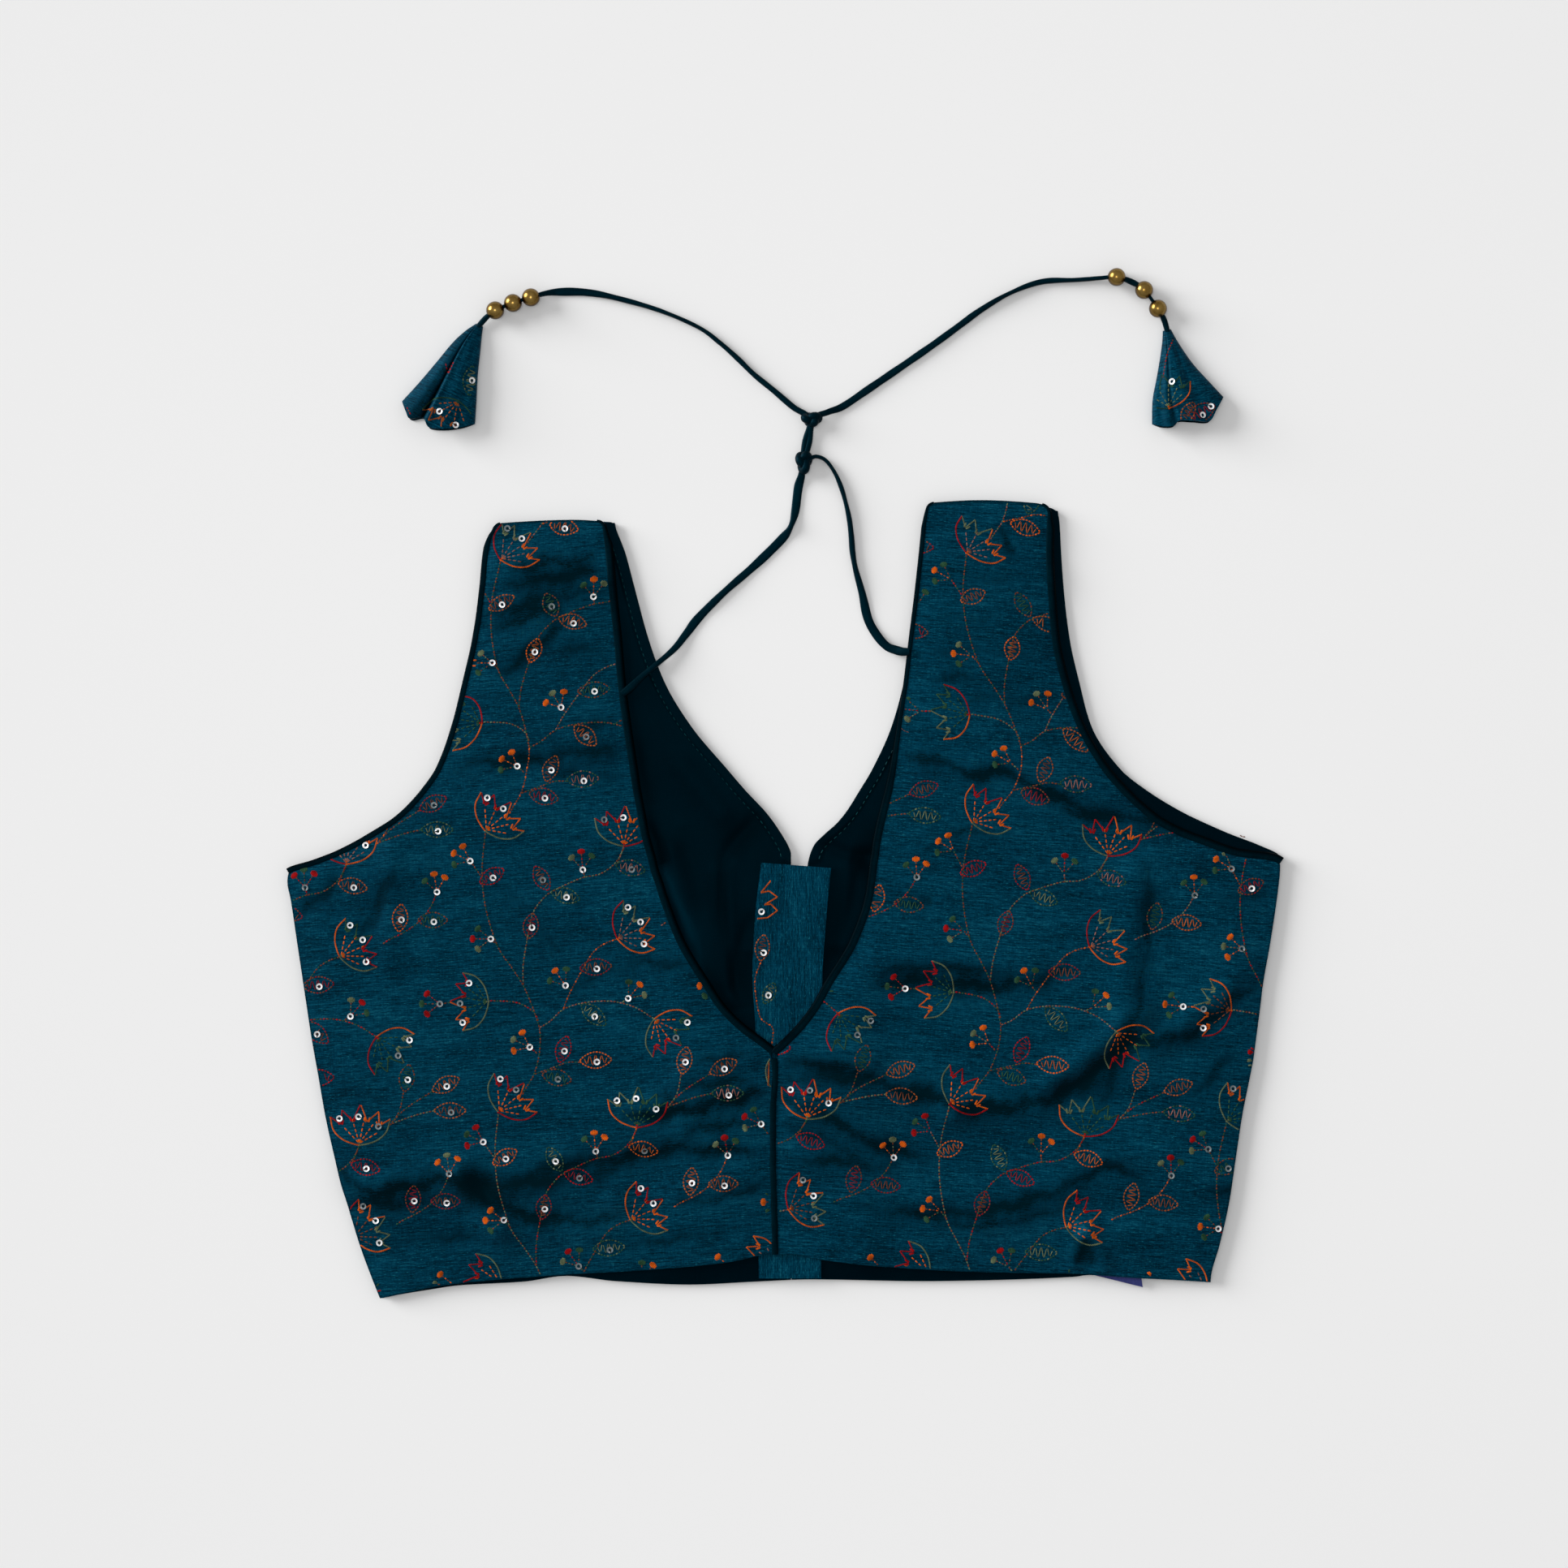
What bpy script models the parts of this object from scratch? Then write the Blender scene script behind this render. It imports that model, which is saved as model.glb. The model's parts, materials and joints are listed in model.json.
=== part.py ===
"""Sleeveless choli blouse laid flat with its back up: thin cloth walls, the tied dori, beads and tassels.

Frame: metres, +Z up, the floor at z = 0, +Y towards the shoulders, +X to the viewer's right of the back.
"""

import math

import bmesh
import bpy
import numpy as np

MM = 0.001

# Walls and gaps, in millimetres.
SEAM_GAP = 0.3
SHELL_THICK = 1.2
LINING_THICK = 1.0
PLACKET_THICK = 1.0
BACK_THICK = 1.2
LABEL_THICK = 0.6
SHELL_TOP = SHELL_THICK
LINING_LOW = SHELL_TOP + SEAM_GAP
LINING_TOP = LINING_LOW + LINING_THICK
PLACKET_LOW = LINING_TOP + SEAM_GAP
BACK_LOW = LINING_TOP + SEAM_GAP + 0.05

# The front's halves meet here, and the front's lower part is open to this line.
CENTRE_FRONT_X = 3.0
# The lining stops this far inside the shell's neck, armhole and hem.
LINING_INSET = 1.0
# The front lies this far inside the back's left armhole, where the back covers it.
LEFT_ARM_INSET = 1.5

# The back bulges over the layers inside it, and rides higher over the placket at its centre.
BULGE_RISE = 1.5
BULGE_RUN = 14.0
PLACKET_RIDE = 1.6
PLACKET_RIDE_HALF = 36.0
PLACKET_RIDE_FADE = 24.0
LABEL_RIDE = 1.1
LABEL_RIDE_AT = (154.0, -170.0)
LABEL_RIDE_RUN = 26.0

# The garment by height: each row is a section across it, with where its edges stand from the centre line.
# The side columns are the outermost edge, the arm columns the back's cloth at the armholes,
# and the neck columns the back's and the front's neck edges.
SECTION_COLUMNS = (
    "y", "side_left", "side_right", "arm_left", "arm_right",
    "back_neck_left", "back_neck_right", "front_neck_left", "front_neck_right",
)
SECTIONS = (
    (-185, -187.0, 196.5, -187.0, 196.5, -4.5, -4.5, 3.0, 3.0),
    (-175, -191.0, 197.0, -191.0, 197.0, -4.5, -4.5, 3.0, 3.0),
    (-160, -196.5, 201.0, -196.5, 201.0, -4.5, -4.5, 3.0, 3.0),
    (-140, -202.5, 205.5, -202.5, 205.5, -5.0, -5.0, 3.0, 3.0),
    (-120, -208.0, 208.5, -208.0, 208.5, -5.5, -5.5, 3.0, 3.0),
    (-100, -212.5, 211.5, -212.5, 211.5, -5.5, -5.5, 3.0, 3.0),
    (-80, -216.0, 215.5, -216.0, 215.5, -4.5, -4.5, 3.0, 3.0),
    (-73, -217.3, 216.8, -217.3, 216.8, -5.0, -5.0, 3.0, 3.0),
    (-69, -218.0, 217.3, -218.0, 217.3, -9.0, -1.0, 3.0, 3.0),
    (-60, -219.5, 218.5, -219.5, 218.5, -20.0, 8.0, 3.0, 3.0),
    (-50, -221.0, 219.8, -221.0, 219.8, -29.0, 15.5, 3.0, 3.0),
    (-40, -222.5, 221.0, -222.5, 221.0, -35.5, 21.0, 3.2, 3.5),
    (-20, -225.5, 224.5, -225.5, 224.5, -48.0, 33.0, 3.6, 4.6),
    (0, -228.5, 227.5, -228.5, 227.5, -56.0, 40.0, 4.0, 7.6),
    (8, -230.0, 228.5, -230.0, 228.5, -58.5, 41.3, 4.2, 9.4),
    (12, -230.3, 229.0, -229.5, 228.9, -60.0, 41.8, 4.4, 10.2),
    (16, -224.0, 229.3, -218.0, 229.0, -61.0, 42.3, 4.4, 10.6),
    (18, -218.5, 229.3, -212.5, 226.0, -61.5, 42.6, 4.0, 11.0),
    (20, -213.0, 229.0, -207.5, 210.0, -62.0, 43.0, 3.4, 11.5),
    (25, -202.0, 219.5, -197.5, 195.0, -63.5, 43.6, 1.4, 13.6),
    (30, -193.0, 206.5, -189.0, 182.0, -64.8, 44.5, -1.5, 18.4),
    (35, -184.5, 195.0, -181.0, 172.5, -65.7, 45.6, -4.8, 24.0),
    (40, -178.0, 184.5, -175.0, 166.0, -66.6, 46.8, -8.6, 28.2),
    (50, -168.5, 168.0, -166.0, 155.5, -68.5, 49.2, -18.0, 34.5),
    (60, -161.5, 155.5, -159.3, 147.0, -70.0, 50.9, -26.6, 40.5),
    (80, -154.0, 142.0, -152.0, 135.5, -73.0, 53.4, -43.4, 49.5),
    (100, -149.0, 136.5, -147.0, 128.5, -76.0, 56.4, -55.5, 55.0),
    (120, -144.5, 132.0, -142.5, 124.0, -78.5, 58.8, -63.0, 58.6),
    (140, -141.5, 129.5, -139.5, 122.2, -80.6, 61.3, -68.5, 61.5),
    (160, -139.5, 128.0, -137.5, 121.2, -82.4, 63.5, -73.8, 64.4),
    (172, -137.0, 127.4, -135.0, 121.6, -83.6, 64.7, -77.8, 66.2),
    (185, -132.0, 126.6, -130.0, 122.2, -84.0, 65.9, -79.0, 68.0),
)

# The hems and the shoulders, from left to right.
HEM_COLUMNS = ("x", "y")
BACK_HEM = (
    (-188, -184.5), (-153, -178.0), (-100, -173.6), (-62, -171.4), (-25, -167.6), (-6, -164.0),
    (2, -164.0), (16, -166.5), (50, -170.3), (88, -172.4), (136, -173.3), (162, -175.0), (198, -177.2),
)
FRONT_HEM = (
    (-188, -184.5), (-164, -180.8), (-151, -179.0), (-120, -177.2), (-100, -174.6), (-78, -177.0),
    (-44, -178.6), (-13, -177.2), (12, -176.2), (64, -177.0), (88, -176.7), (134, -175.0),
    (140, -174.2), (166, -175.2), (189, -177.0), (198, -177.2),
)
SHOULDER = (
    (-137, 171.6), (-132, 173.8), (-97, 175.4), (-79, 174.6),
    (60, 181.6), (66, 183.2), (90, 184.5), (115, 183.2), (128, 179.6),
)

# The largest folds: each is a soft ridge from one end to the other.
# Columns: x and y of one end, x and y of the other, width, height.
BACK_FOLDS = (
    (-48, -80, -16, -75, 5.0, 1.5),
    (-66, -98, -9, -86, 6.5, 2.2),
    (-100, -115, -48, -108, 6.0, 1.9),
    (-34, -111, -9, -116, 5.0, 1.5),
    (-78, -140, -9, -129, 6.0, 1.5),
    (-204, -131, -150, -129, 8.0, 2.6),
    (-150, -127, -133, -152, 6.0, 2.4),
    (-128, -133, -78, -137, 7.0, 2.2),
    (-128, -153, -82, -154, 6.0, 1.4),
    (-181, 24, -183, -30, 6.0, 1.2),
    (-132, 156, -86, 148, 7.0, 1.9),
    (-136, 140, -100, 132, 7.0, 1.6),
    (-118, 74, -84, 66, 7.0, 1.2),
    (2, -70, 40, -76, 5.0, 1.5),
    (12, -90, 78, -98, 6.5, 2.4),
    (78, -98, 116, -95, 7.0, 1.8),
    (6, -99, 44, -110, 5.0, 1.7),
    (2, -122, 46, -124, 6.0, 1.5),
    (42, -30, 112, -30, 7.0, 1.6),
    (166, -52, 122, -84, 6.0, 2.8),
    (168, -70, 206, -40, 7.0, 1.8),
    (162, 14, 156, -48, 7.0, 1.4),
    (170, 22, 188, 16, 5.0, 1.6),
    (92, -150, 130, -133, 7.0, 1.7),
    (150, -118, 176, -119, 6.0, 1.4),
    (140, -153, 133, -168, 4.0, 1.5),
    (140, -153, 148, -168, 4.0, 1.5),
    (72, 160, 118, 150, 8.0, 1.2),
    (66, 60, 126, 50, 8.0, 1.4),
)
LINING_FOLDS = (
    (-53, 22, -44, -18, 6.0, 0.8),
    (-30, 12, -24, -46, 5.0, 0.6),
    (-48, 62, -30, 40, 6.0, 0.6),
    (32, 20, 26, -20, 5.0, 0.6),
    (-150, -176, -60, -174, 5.0, 0.4),
)

# The placket strip by height, with its left and right edges.
PLACKET_COLUMNS = ("y", "left", "right")
PLACKET = (
    (-174, -12.0, 16.8),
    (-120, -13.0, 16.6),
    (-60, -13.6, 17.0),
    (-36, -15.0, 17.4),
    (-6, -13.6, 19.4),
    (15, -10.9, 21.4),
)

# Trim widths: the cloth binding in the neck, the cord piping at the armholes and down the centre back.
NECK_BINDING = 3.7
# The right strap turns its binding under towards the shoulder, and only this much of it shows there.
NECK_BINDING_TURNED = 1.3
TURNS_UNDER_FROM = 40.0
TURNED_UNDER_AT = 86.0
ARM_PIPING_LEFT = 1.9
ARM_PIPING_RIGHT = 3.0
CENTRE_PIPING = 2.0
CENTRE_HALF_GAP = CENTRE_PIPING / 2 + SEAM_GAP
TRIM_PROUD = 0.35
TRIM_ROUND = 0.25
TRIM_UNDERCUT = np.array([0.0, 0.0, 0.0, TRIM_ROUND])
# How much more than the lining's own rise the trim keeps over it.
LINING_CLEAR = 1.2
STEEPEST_MITRE = 0.6
V_POINT_Y = -73.0
UNDERARM_LEFT_Y = 12.0
UNDERARM_RIGHT_Y = 16.0

# The dori: a soft tube of bias cloth, its beads and its knots. It lies on the floor where its middle is
# 1.7 up.
DORI_RADIUS = 1.6
DORI_STEP = 7.0
BEAD_RADIUS = 4.15
BEAD_LIE = BEAD_RADIUS + 0.05
KNOT_CLEAR = 0.45
KNOT_CLEAR_SLANTED = 0.8
TIP_CLEAR = 0.5
FEWEST_POINTS = 5

# The routes' columns are x, y and the height of the tube's middle.
LEFT_LOWER_ROUTE = (
    (-71.0, 98.2, 4.9), (-66.0, 103.0, 5.1), (-60.8, 107.4, 5.0), (-51.4, 115.6, 3.4), (-45.5, 123.0, 1.9),
    (-39.8, 130.4, 1.7), (-28.6, 141.8, 1.7), (-15.8, 153.0, 1.7), (-7.8, 160.6, 1.7), (-0.8, 168.0, 1.7),
    (2.4, 172.6, 1.7), (4.4, 179.4, 1.7), (5.6, 190.4, 1.8), (7.4, 196.4, 2.6),
)
RIGHT_LOWER_ROUTE = (
    (55.2, 114.2, 4.0), (51.4, 115.4, 3.6), (47.2, 117.6, 2.4), (42.4, 123.0, 1.7), (38.0, 130.6, 1.7),
    (35.2, 141.8, 1.7), (32.6, 153.0, 1.7), (31.4, 160.6, 1.7), (31.0, 168.0, 1.7), (30.0, 175.6, 1.7),
    (28.4, 183.0, 1.7), (26.2, 190.6, 1.7), (23.0, 197.4, 1.8), (18.8, 203.0, 2.6),
)
LEFT_TAIL_ROUTE = (
    (3.8, 228.0, 2.0), (-5.2, 235.6, 1.7), (-14.2, 243.0, 1.7), (-21.8, 250.4, 1.7), (-30.0, 258.0, 1.7),
    (-40.2, 265.4, 1.7), (-58.6, 273.2, 1.7), (-80.0, 279.0, 1.7), (-92.6, 281.2, 1.7), (-104.0, 281.0, 2.4),
)
RIGHT_TAIL_ROUTE = (
    (27.0, 228.2, 1.8), (38.0, 235.6, 1.7), (48.4, 243.0, 1.7), (59.2, 250.4, 1.7), (70.2, 258.0, 1.7),
    (80.6, 265.6, 1.7), (90.8, 273.2, 1.7), (104.2, 280.4, 1.7), (118.8, 285.6, 1.7), (134.2, 286.8, 2.2),
)
# Each knot's middle and half sizes, and each bead's place.
KNOTS = {
    "knot_lower": ((8.8, 202.4, 3.1), (3.8, 5.0, 3.0)),
    "knot_upper": ((12.4, 222.0, 3.1), (4.7, 3.4, 3.0)),
}
BEADS = {
    "bead_left_1": (-117.4, 278.2),
    "bead_left_2": (-125.7, 275.6),
    "bead_left_3": (-133.9, 272.2),
    "bead_right_1": (153.4, 287.6),
    "bead_right_2": (166.1, 281.6),
    "bead_right_3": (172.5, 273.0),
}

# The tassels: cloth cones flattened on the floor. Each tassel's tip and the way that it points, in plan.
TASSEL_TIPS = {
    "tassel_left": ((-141.6, 265.8), (-0.379, -0.926)),
    "tassel_right": ((176.8, 263.4), (0.224, -0.975)),
}
# Each tassel's sides, at shares of the way from the tip to the mouth.
TASSEL_COLUMNS = ("share", "left", "right", "half_height")
TASSEL_SIDES_AT = {
    "tassel_left": (
        (0.0, -1.6, 2.0, 1.7),
        (0.1, -4.6, 3.2, 2.6),
        (0.25, -7.8, 5.2, 3.6),
        (0.5, -11.4, 8.4, 4.4),
        (0.75, -15.1, 12.2, 4.9),
        (1.0, -19.3, 15.9, 5.1),
    ),
    "tassel_right": (
        (0.0, -1.8, 2.0, 1.7),
        (0.1, -3.0, 2.9, 2.6),
        (0.25, -5.3, 4.6, 3.6),
        (0.5, -9.6, 8.2, 4.4),
        (0.75, -14.0, 13.2, 4.9),
        (1.0, -16.6, 18.4, 5.1),
    ),
}
# How far each tassel's mouth reaches from the tip, across it: its corners and its folds.
MOUTH_COLUMNS = ("across", "reach")
TASSEL_MOUTHS = {
    "tassel_left": (
        (-19.3, 46.3), (-15.7, 50.0), (-12.6, 52.6), (-7.1, 49.8), (-2.7, 53.0),
        (2.3, 51.7), (10.4, 47.5), (15.9, 43.2),
    ),
    "tassel_right": (
        (-16.6, 41.0), (-12.0, 43.5), (-7.7, 44.4), (-4.8, 42.6), (2.0, 44.2),
        (8.8, 46.0), (14.0, 41.0), (18.4, 36.2),
    ),
}
TASSEL_WALL = 1.0
TASSEL_HOLLOW_FROM = 2
TASSEL_SIDES = 16
# The underside is cut flat at this share of the half height.
TASSEL_FLAT = 0.35
TASSEL_LIFT = 0.1

COLOURS = {
    "teal_cloth": (0.0, 0.085, 0.135, 0.62),
    "dark_lining": (0.0, 0.018, 0.030, 0.55),
    "dark_trim": (0.0, 0.022, 0.036, 0.50),
    "gold_bead": (0.42, 0.23, 0.055, 0.25),
    "plain_label": (0.03, 0.03, 0.11, 0.70),
}


def clear_scene():
    """Takes every object out of the scene."""
    for obj in list(bpy.context.scene.objects):
        bpy.data.objects.remove(obj, do_unlink=True)


def material(name):
    """One of the finishes: a Principled surface with its colour and roughness."""
    made = bpy.data.materials.get(name)
    if made:
        return made
    red, green, blue, roughness = COLOURS[name]
    made = bpy.data.materials.new(name)
    made.use_nodes = True
    shader = made.node_tree.nodes["Principled BSDF"]
    shader.inputs["Base Color"].default_value = (red, green, blue, 1.0)
    shader.inputs["Roughness"].default_value = roughness
    shader.inputs["Metallic"].default_value = 1.0 if name == "gold_bead" else 0.0
    return made


def column(rows, columns, name):
    """One named column of a table, as an array."""
    return np.array([row[columns.index(name)] for row in rows], float)


def smooth_through(at, known, values):
    """The smooth curve through rows that rise in known: cubic pieces that never overshoot a row."""
    at = np.clip(np.asarray(at, float), known[0], known[-1])
    steps = np.diff(known)
    slopes = np.diff(values) / steps
    before, after = slopes[:-1], slopes[1:]
    same_way = before * after > 0
    total = np.where(same_way, before + after, 1.0)
    inner = np.where(same_way, 2 * before * after / total, 0.0)
    tangents = np.concatenate([slopes[:1], inner, slopes[-1:]])
    i = np.clip(np.searchsorted(known, at) - 1, 0, len(steps) - 1)
    t = (at - known[i]) / steps[i]
    left = values[i] * (1 + 2 * t) * (1 - t) ** 2 + tangents[i] * steps[i] * t * (1 - t) ** 2
    right = values[i + 1] * t**2 * (3 - 2 * t) + tangents[i + 1] * steps[i] * t**2 * (t - 1)
    return left + right


def edge(name, y):
    """Where a named edge of the garment stands at height y."""
    known = column(SECTIONS, SECTION_COLUMNS, "y")
    return smooth_through(y, known, column(SECTIONS, SECTION_COLUMNS, name))


def level(rows, x):
    """The height of a hem or a shoulder at x."""
    return smooth_through(x, column(rows, HEM_COLUMNS, "x"), column(rows, HEM_COLUMNS, "y"))


def ridges(rows, x, y):
    """The height of the folds at x, y: a bell over the distance from each fold's line."""
    total = np.zeros(np.broadcast(x, y).shape)
    for x0, y0, x1, y1, width, height in rows:
        run_x, run_y = x1 - x0, y1 - y0
        along = ((x - x0) * run_x + (y - y0) * run_y) / (run_x**2 + run_y**2)
        along = np.clip(along, 0.0, 1.0)
        away = np.hypot(x - x0 - along * run_x, y - y0 - along * run_y)
        total = total + height * np.exp(-((away / width) ** 2))
    return total


def centre_x(y):
    """The centre-back seam's line."""
    return edge("back_neck_left", np.minimum(y, V_POINT_Y))


def back_ride(x, y):
    """How much higher than at the side seams the back lies: over the placket, the label and the folds."""
    away = np.abs(x - centre_x(y))
    fade = np.clip((PLACKET_RIDE_HALF + PLACKET_RIDE_FADE - away) / PLACKET_RIDE_FADE, 0.0, 1.0)
    inside = np.clip((60.0 - y) / 40.0, 0.0, 1.0)
    ride = PLACKET_RIDE * fade**2 * (3 - 2 * fade) * inside
    label = np.hypot(x - LABEL_RIDE_AT[0], y - LABEL_RIDE_AT[1]) / LABEL_RIDE_RUN
    ride = np.maximum(ride, LABEL_RIDE * np.clip(1.6 * (1 - label), 0.0, 1.0))
    return ride + ridges(BACK_FOLDS, x, y) + ridges(LINING_FOLDS, x, y)


def add_object(name, mesh, finish):
    """Puts a mesh into the scene as one sub-part, in metres."""
    obj = bpy.data.objects.new(name, mesh)
    bpy.context.scene.collection.objects.link(obj)
    mesh.materials.append(material(finish))
    return obj


def mesh_from(name, bm, sharp_degrees=40.0):
    """Turns a bmesh in millimetres into a smooth-shaded mesh in metres with its faces out."""
    bmesh.ops.scale(bm, vec=(MM, MM, MM), verts=bm.verts)
    bmesh.ops.recalc_face_normals(bm, faces=bm.faces)
    mesh = bpy.data.meshes.new(name)
    bm.to_mesh(mesh)
    bm.free()
    mesh.shade_smooth()
    mesh.set_sharp_from_angle(angle=math.radians(sharp_degrees))
    return mesh


def wall(name, top, low, finish):
    """A closed wall between two sheets of points with the same rows and columns."""
    rows, cols = top.shape[:2]
    bm = bmesh.new()
    upper = [[bm.verts.new(p) for p in row] for row in top]
    lower = [[bm.verts.new(p) for p in row] for row in low]
    for i in range(rows - 1):
        for j in range(cols - 1):
            bm.faces.new((upper[i][j], upper[i][j + 1], upper[i + 1][j + 1], upper[i + 1][j]))
            bm.faces.new((lower[i][j], lower[i + 1][j], lower[i + 1][j + 1], lower[i][j + 1]))
    rim = [(0, j) for j in range(cols)]
    rim += [(i, cols - 1) for i in range(1, rows)]
    rim += [(rows - 1, j) for j in range(cols - 2, -1, -1)]
    rim += [(i, 0) for i in range(rows - 2, 0, -1)]
    for (i, j), (m, n) in zip(rim, rim[1:] + rim[:1]):
        bm.faces.new((upper[i][j], lower[i][j], lower[m][n], upper[m][n]))
    return add_object(name, mesh_from(name, bm), finish)


def points(x, y, z):
    """Stacks three arrays into points, the last axis x, y, z."""
    return np.stack(np.broadcast_arrays(x, y, z), axis=-1)


def spread(bands):
    """Heights for a panel's rows, from bands of (from, to, count)."""
    parts = [np.linspace(low, high, count, endpoint=False) for low, high, count in bands]
    return np.concatenate([*parts, [bands[-1][1]]])


def panel_grid(inner, outer, hem, rows, across):
    """A panel's plan: rows between two edges, which slide to meet the hem and the shoulder."""
    y = np.repeat(rows[:, None], len(across), axis=1)
    u = across[None, :]
    x = inner(y) * (1 - u) + outer(y) * u
    near_hem = np.clip(1 - (rows - rows[0]) / 45.0, 0.0, 1.0)[:, None]
    near_top = np.clip(1 - (rows[-1] - rows) / 30.0, 0.0, 1.0)[:, None]
    y = y + (level(hem, x) - rows[0]) * near_hem + (level(SHOULDER, x) - rows[-1]) * near_top
    return inner(y) * (1 - u) + outer(y) * u, y


BACK_ROWS = (
    (-180, -76, 12), (-76, -56, 4), (-56, 4, 6), (4, 24, 6), (24, 44, 3), (44, 174, 10),
)
ACROSS = np.array([0, 2.5, 7, 13, 20, 27, 34, 41, 48, 55, 62, 69, 76, 82, 88, 93, 97, 100]) / 100


def back_panel(side):
    """One half of the back, from the centre seam and the neck edge out to the side and the armhole."""
    sign = -1 if side == "left" else 1

    def inner(y):
        seam = centre_x(y) + sign * CENTRE_HALF_GAP
        neck = edge("back_neck_" + side, y)
        return np.minimum(seam, neck) if side == "left" else np.maximum(seam, neck)

    def outer(y):
        return edge("arm_" + side, y)

    x, y = panel_grid(inner, outer, BACK_HEM, spread(BACK_ROWS), ACROSS)
    from_edges = (x - inner(y), x - outer(y), y - level(BACK_HEM, x), level(SHOULDER, x) - y)
    bulge = np.prod([np.tanh(np.abs(away) / BULGE_RUN) for away in from_edges], axis=0)
    z = BACK_LOW + back_ride(x, y) + BULGE_RISE * bulge
    wall(f"back_{side}_panel", points(x, y, z + BACK_THICK), points(x, y, z), "teal_cloth")
    return x, y, z


SHELL_ROWS = ((-178, -60, 12), (-60, 8, 8), (8, 20, 6), (20, 36, 5), (36, 60, 4), (60, 176, 12))


def front_edges(side, inset):
    """The inner and the outer edge of one half of the front, as functions of the height."""

    def inner(y):
        neck = edge("front_neck_" + side, y)
        if side == "left":
            return np.minimum(neck, CENTRE_FRONT_X - SEAM_GAP / 2) - inset
        return np.maximum(neck, CENTRE_FRONT_X + SEAM_GAP / 2) + inset

    def outer(y):
        if side == "right":
            return edge("side_right", y) - inset
        return edge("arm_left", y) + inset + LEFT_ARM_INSET * np.clip((y - 8.0) / 12.0, 0.0, 1.0)

    return inner, outer


def front_shell(side):
    """One half of the front's outer cloth: flat on the floor, its outline drawn up by its thickness."""
    inner, outer = front_edges(side, 0.0)
    heights = spread(SHELL_ROWS)
    out_x = outer(heights)
    in_x = inner(heights)
    hem_x = np.linspace(in_x[0], out_x[0], 10)[1:-1]
    top_x = np.linspace(out_x[-1], in_x[-1], 6)[1:-1]
    out_y = heights.copy()
    in_y = heights.copy()
    out_y[0], in_y[0] = level(FRONT_HEM, out_x[0]), level(FRONT_HEM, in_x[0])
    out_y[-1], in_y[-1] = level(SHOULDER, out_x[-1]), level(SHOULDER, in_x[-1])
    x = np.concatenate([out_x, top_x, in_x[::-1], hem_x])
    y = np.concatenate([out_y, level(SHOULDER, top_x), in_y[::-1], level(FRONT_HEM, hem_x)])
    bm = bmesh.new()
    base = bm.faces.new([bm.verts.new((a, b, 0.0)) for a, b in zip(x, y)])
    raised = bmesh.ops.extrude_face_region(bm, geom=[base])
    verts = [item for item in raised["geom"] if isinstance(item, bmesh.types.BMVert)]
    bmesh.ops.translate(bm, verts=verts, vec=(0.0, 0.0, SHELL_THICK))
    return add_object(f"front_{side}_shell", mesh_from(f"front_{side}_shell", bm), "teal_cloth")


FRONT_ROWS = ((-180, -60, 7), (-60, 4, 8), (4, 24, 5), (24, 60, 5), (60, 174, 7))
FRONT_ACROSS = np.array([0, 4, 10, 18, 27, 38, 50, 62, 74, 86, 95, 100]) / 100


def front_lining(side):
    """The lining over one half of the front, seen in the neck, at the armhole and below the back's hem."""
    inner, outer = front_edges(side, LINING_INSET)
    x, y = panel_grid(inner, outer, FRONT_HEM, spread(FRONT_ROWS), FRONT_ACROSS)
    y[0] += LINING_INSET
    y[-1] -= LINING_INSET
    rise = ridges(LINING_FOLDS, x, y)
    top = points(x, y, LINING_TOP + rise)
    low = points(x, y, LINING_LOW + rise)
    wall(f"front_{side}_lining", top, low, "dark_lining")


def front_placket():
    """The strip that carries the hooks, sewn inside the centre front, with a few ripples."""
    y = np.linspace(-175.4, 15.0, 22)
    known = column(PLACKET, PLACKET_COLUMNS, "y")
    left = smooth_through(y, known, column(PLACKET, PLACKET_COLUMNS, "left"))
    right = smooth_through(y, known, column(PLACKET, PLACKET_COLUMNS, "right"))
    across = np.linspace(0, 1, 5)[None, :]
    x = left[:, None] * (1 - across) + right[:, None] * across
    y = np.repeat(y[:, None], 5, axis=1)
    rise = 0.15 * (1 + np.sin(y / 9.0 + 3.0 * across)) * (y > -70) + ridges(LINING_FOLDS, x, y)
    low = points(x, y, PLACKET_LOW + rise)
    top = points(x, y, PLACKET_LOW + rise + PLACKET_THICK)
    wall("front_placket", top, low, "teal_cloth")


def outward(line, sign):
    """Mitred normals of a line of plan points, on its left, or on its right if sign is -1."""
    runs = np.diff(line, axis=0)
    runs /= np.linalg.norm(runs, axis=1, keepdims=True)
    sides = sign * np.stack([-runs[:, 1], runs[:, 0]], axis=1)
    before = np.vstack([sides[:1], sides])
    after = np.vstack([sides, sides[-1:]])
    mitre = before + after
    mitre /= np.linalg.norm(mitre, axis=1, keepdims=True)
    return mitre / np.maximum(np.sum(mitre * before, axis=1, keepdims=True), STEEPEST_MITRE)


TRIM_ACROSS = np.array([0.0, 0.25, 0.7, 1.0])
TRIM_CROWN = np.array([0.0, TRIM_PROUD, TRIM_PROUD, -TRIM_ROUND])


def trim_strip(name, line, z, normals, width, finish):
    """A rounded strip along a panel's edge, made from the edge's points, moved out. The width may vary."""
    away = SEAM_GAP + np.broadcast_to(width, len(line))[:, None] * TRIM_ACROSS
    plan = line[:, None, :] + normals[:, None, :] * away[:, :, None]
    over_lining = BACK_LOW + LINING_CLEAR * ridges(LINING_FOLDS, plan[..., 0], plan[..., 1])
    base = np.maximum(z[:, None], over_lining.max(axis=1, keepdims=True))
    top = points(plan[..., 0], plan[..., 1], base + BACK_THICK + TRIM_CROWN)
    low = points(plan[..., 0], plan[..., 1], base + TRIM_UNDERCUT)
    wall(name, top, low, finish)


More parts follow.
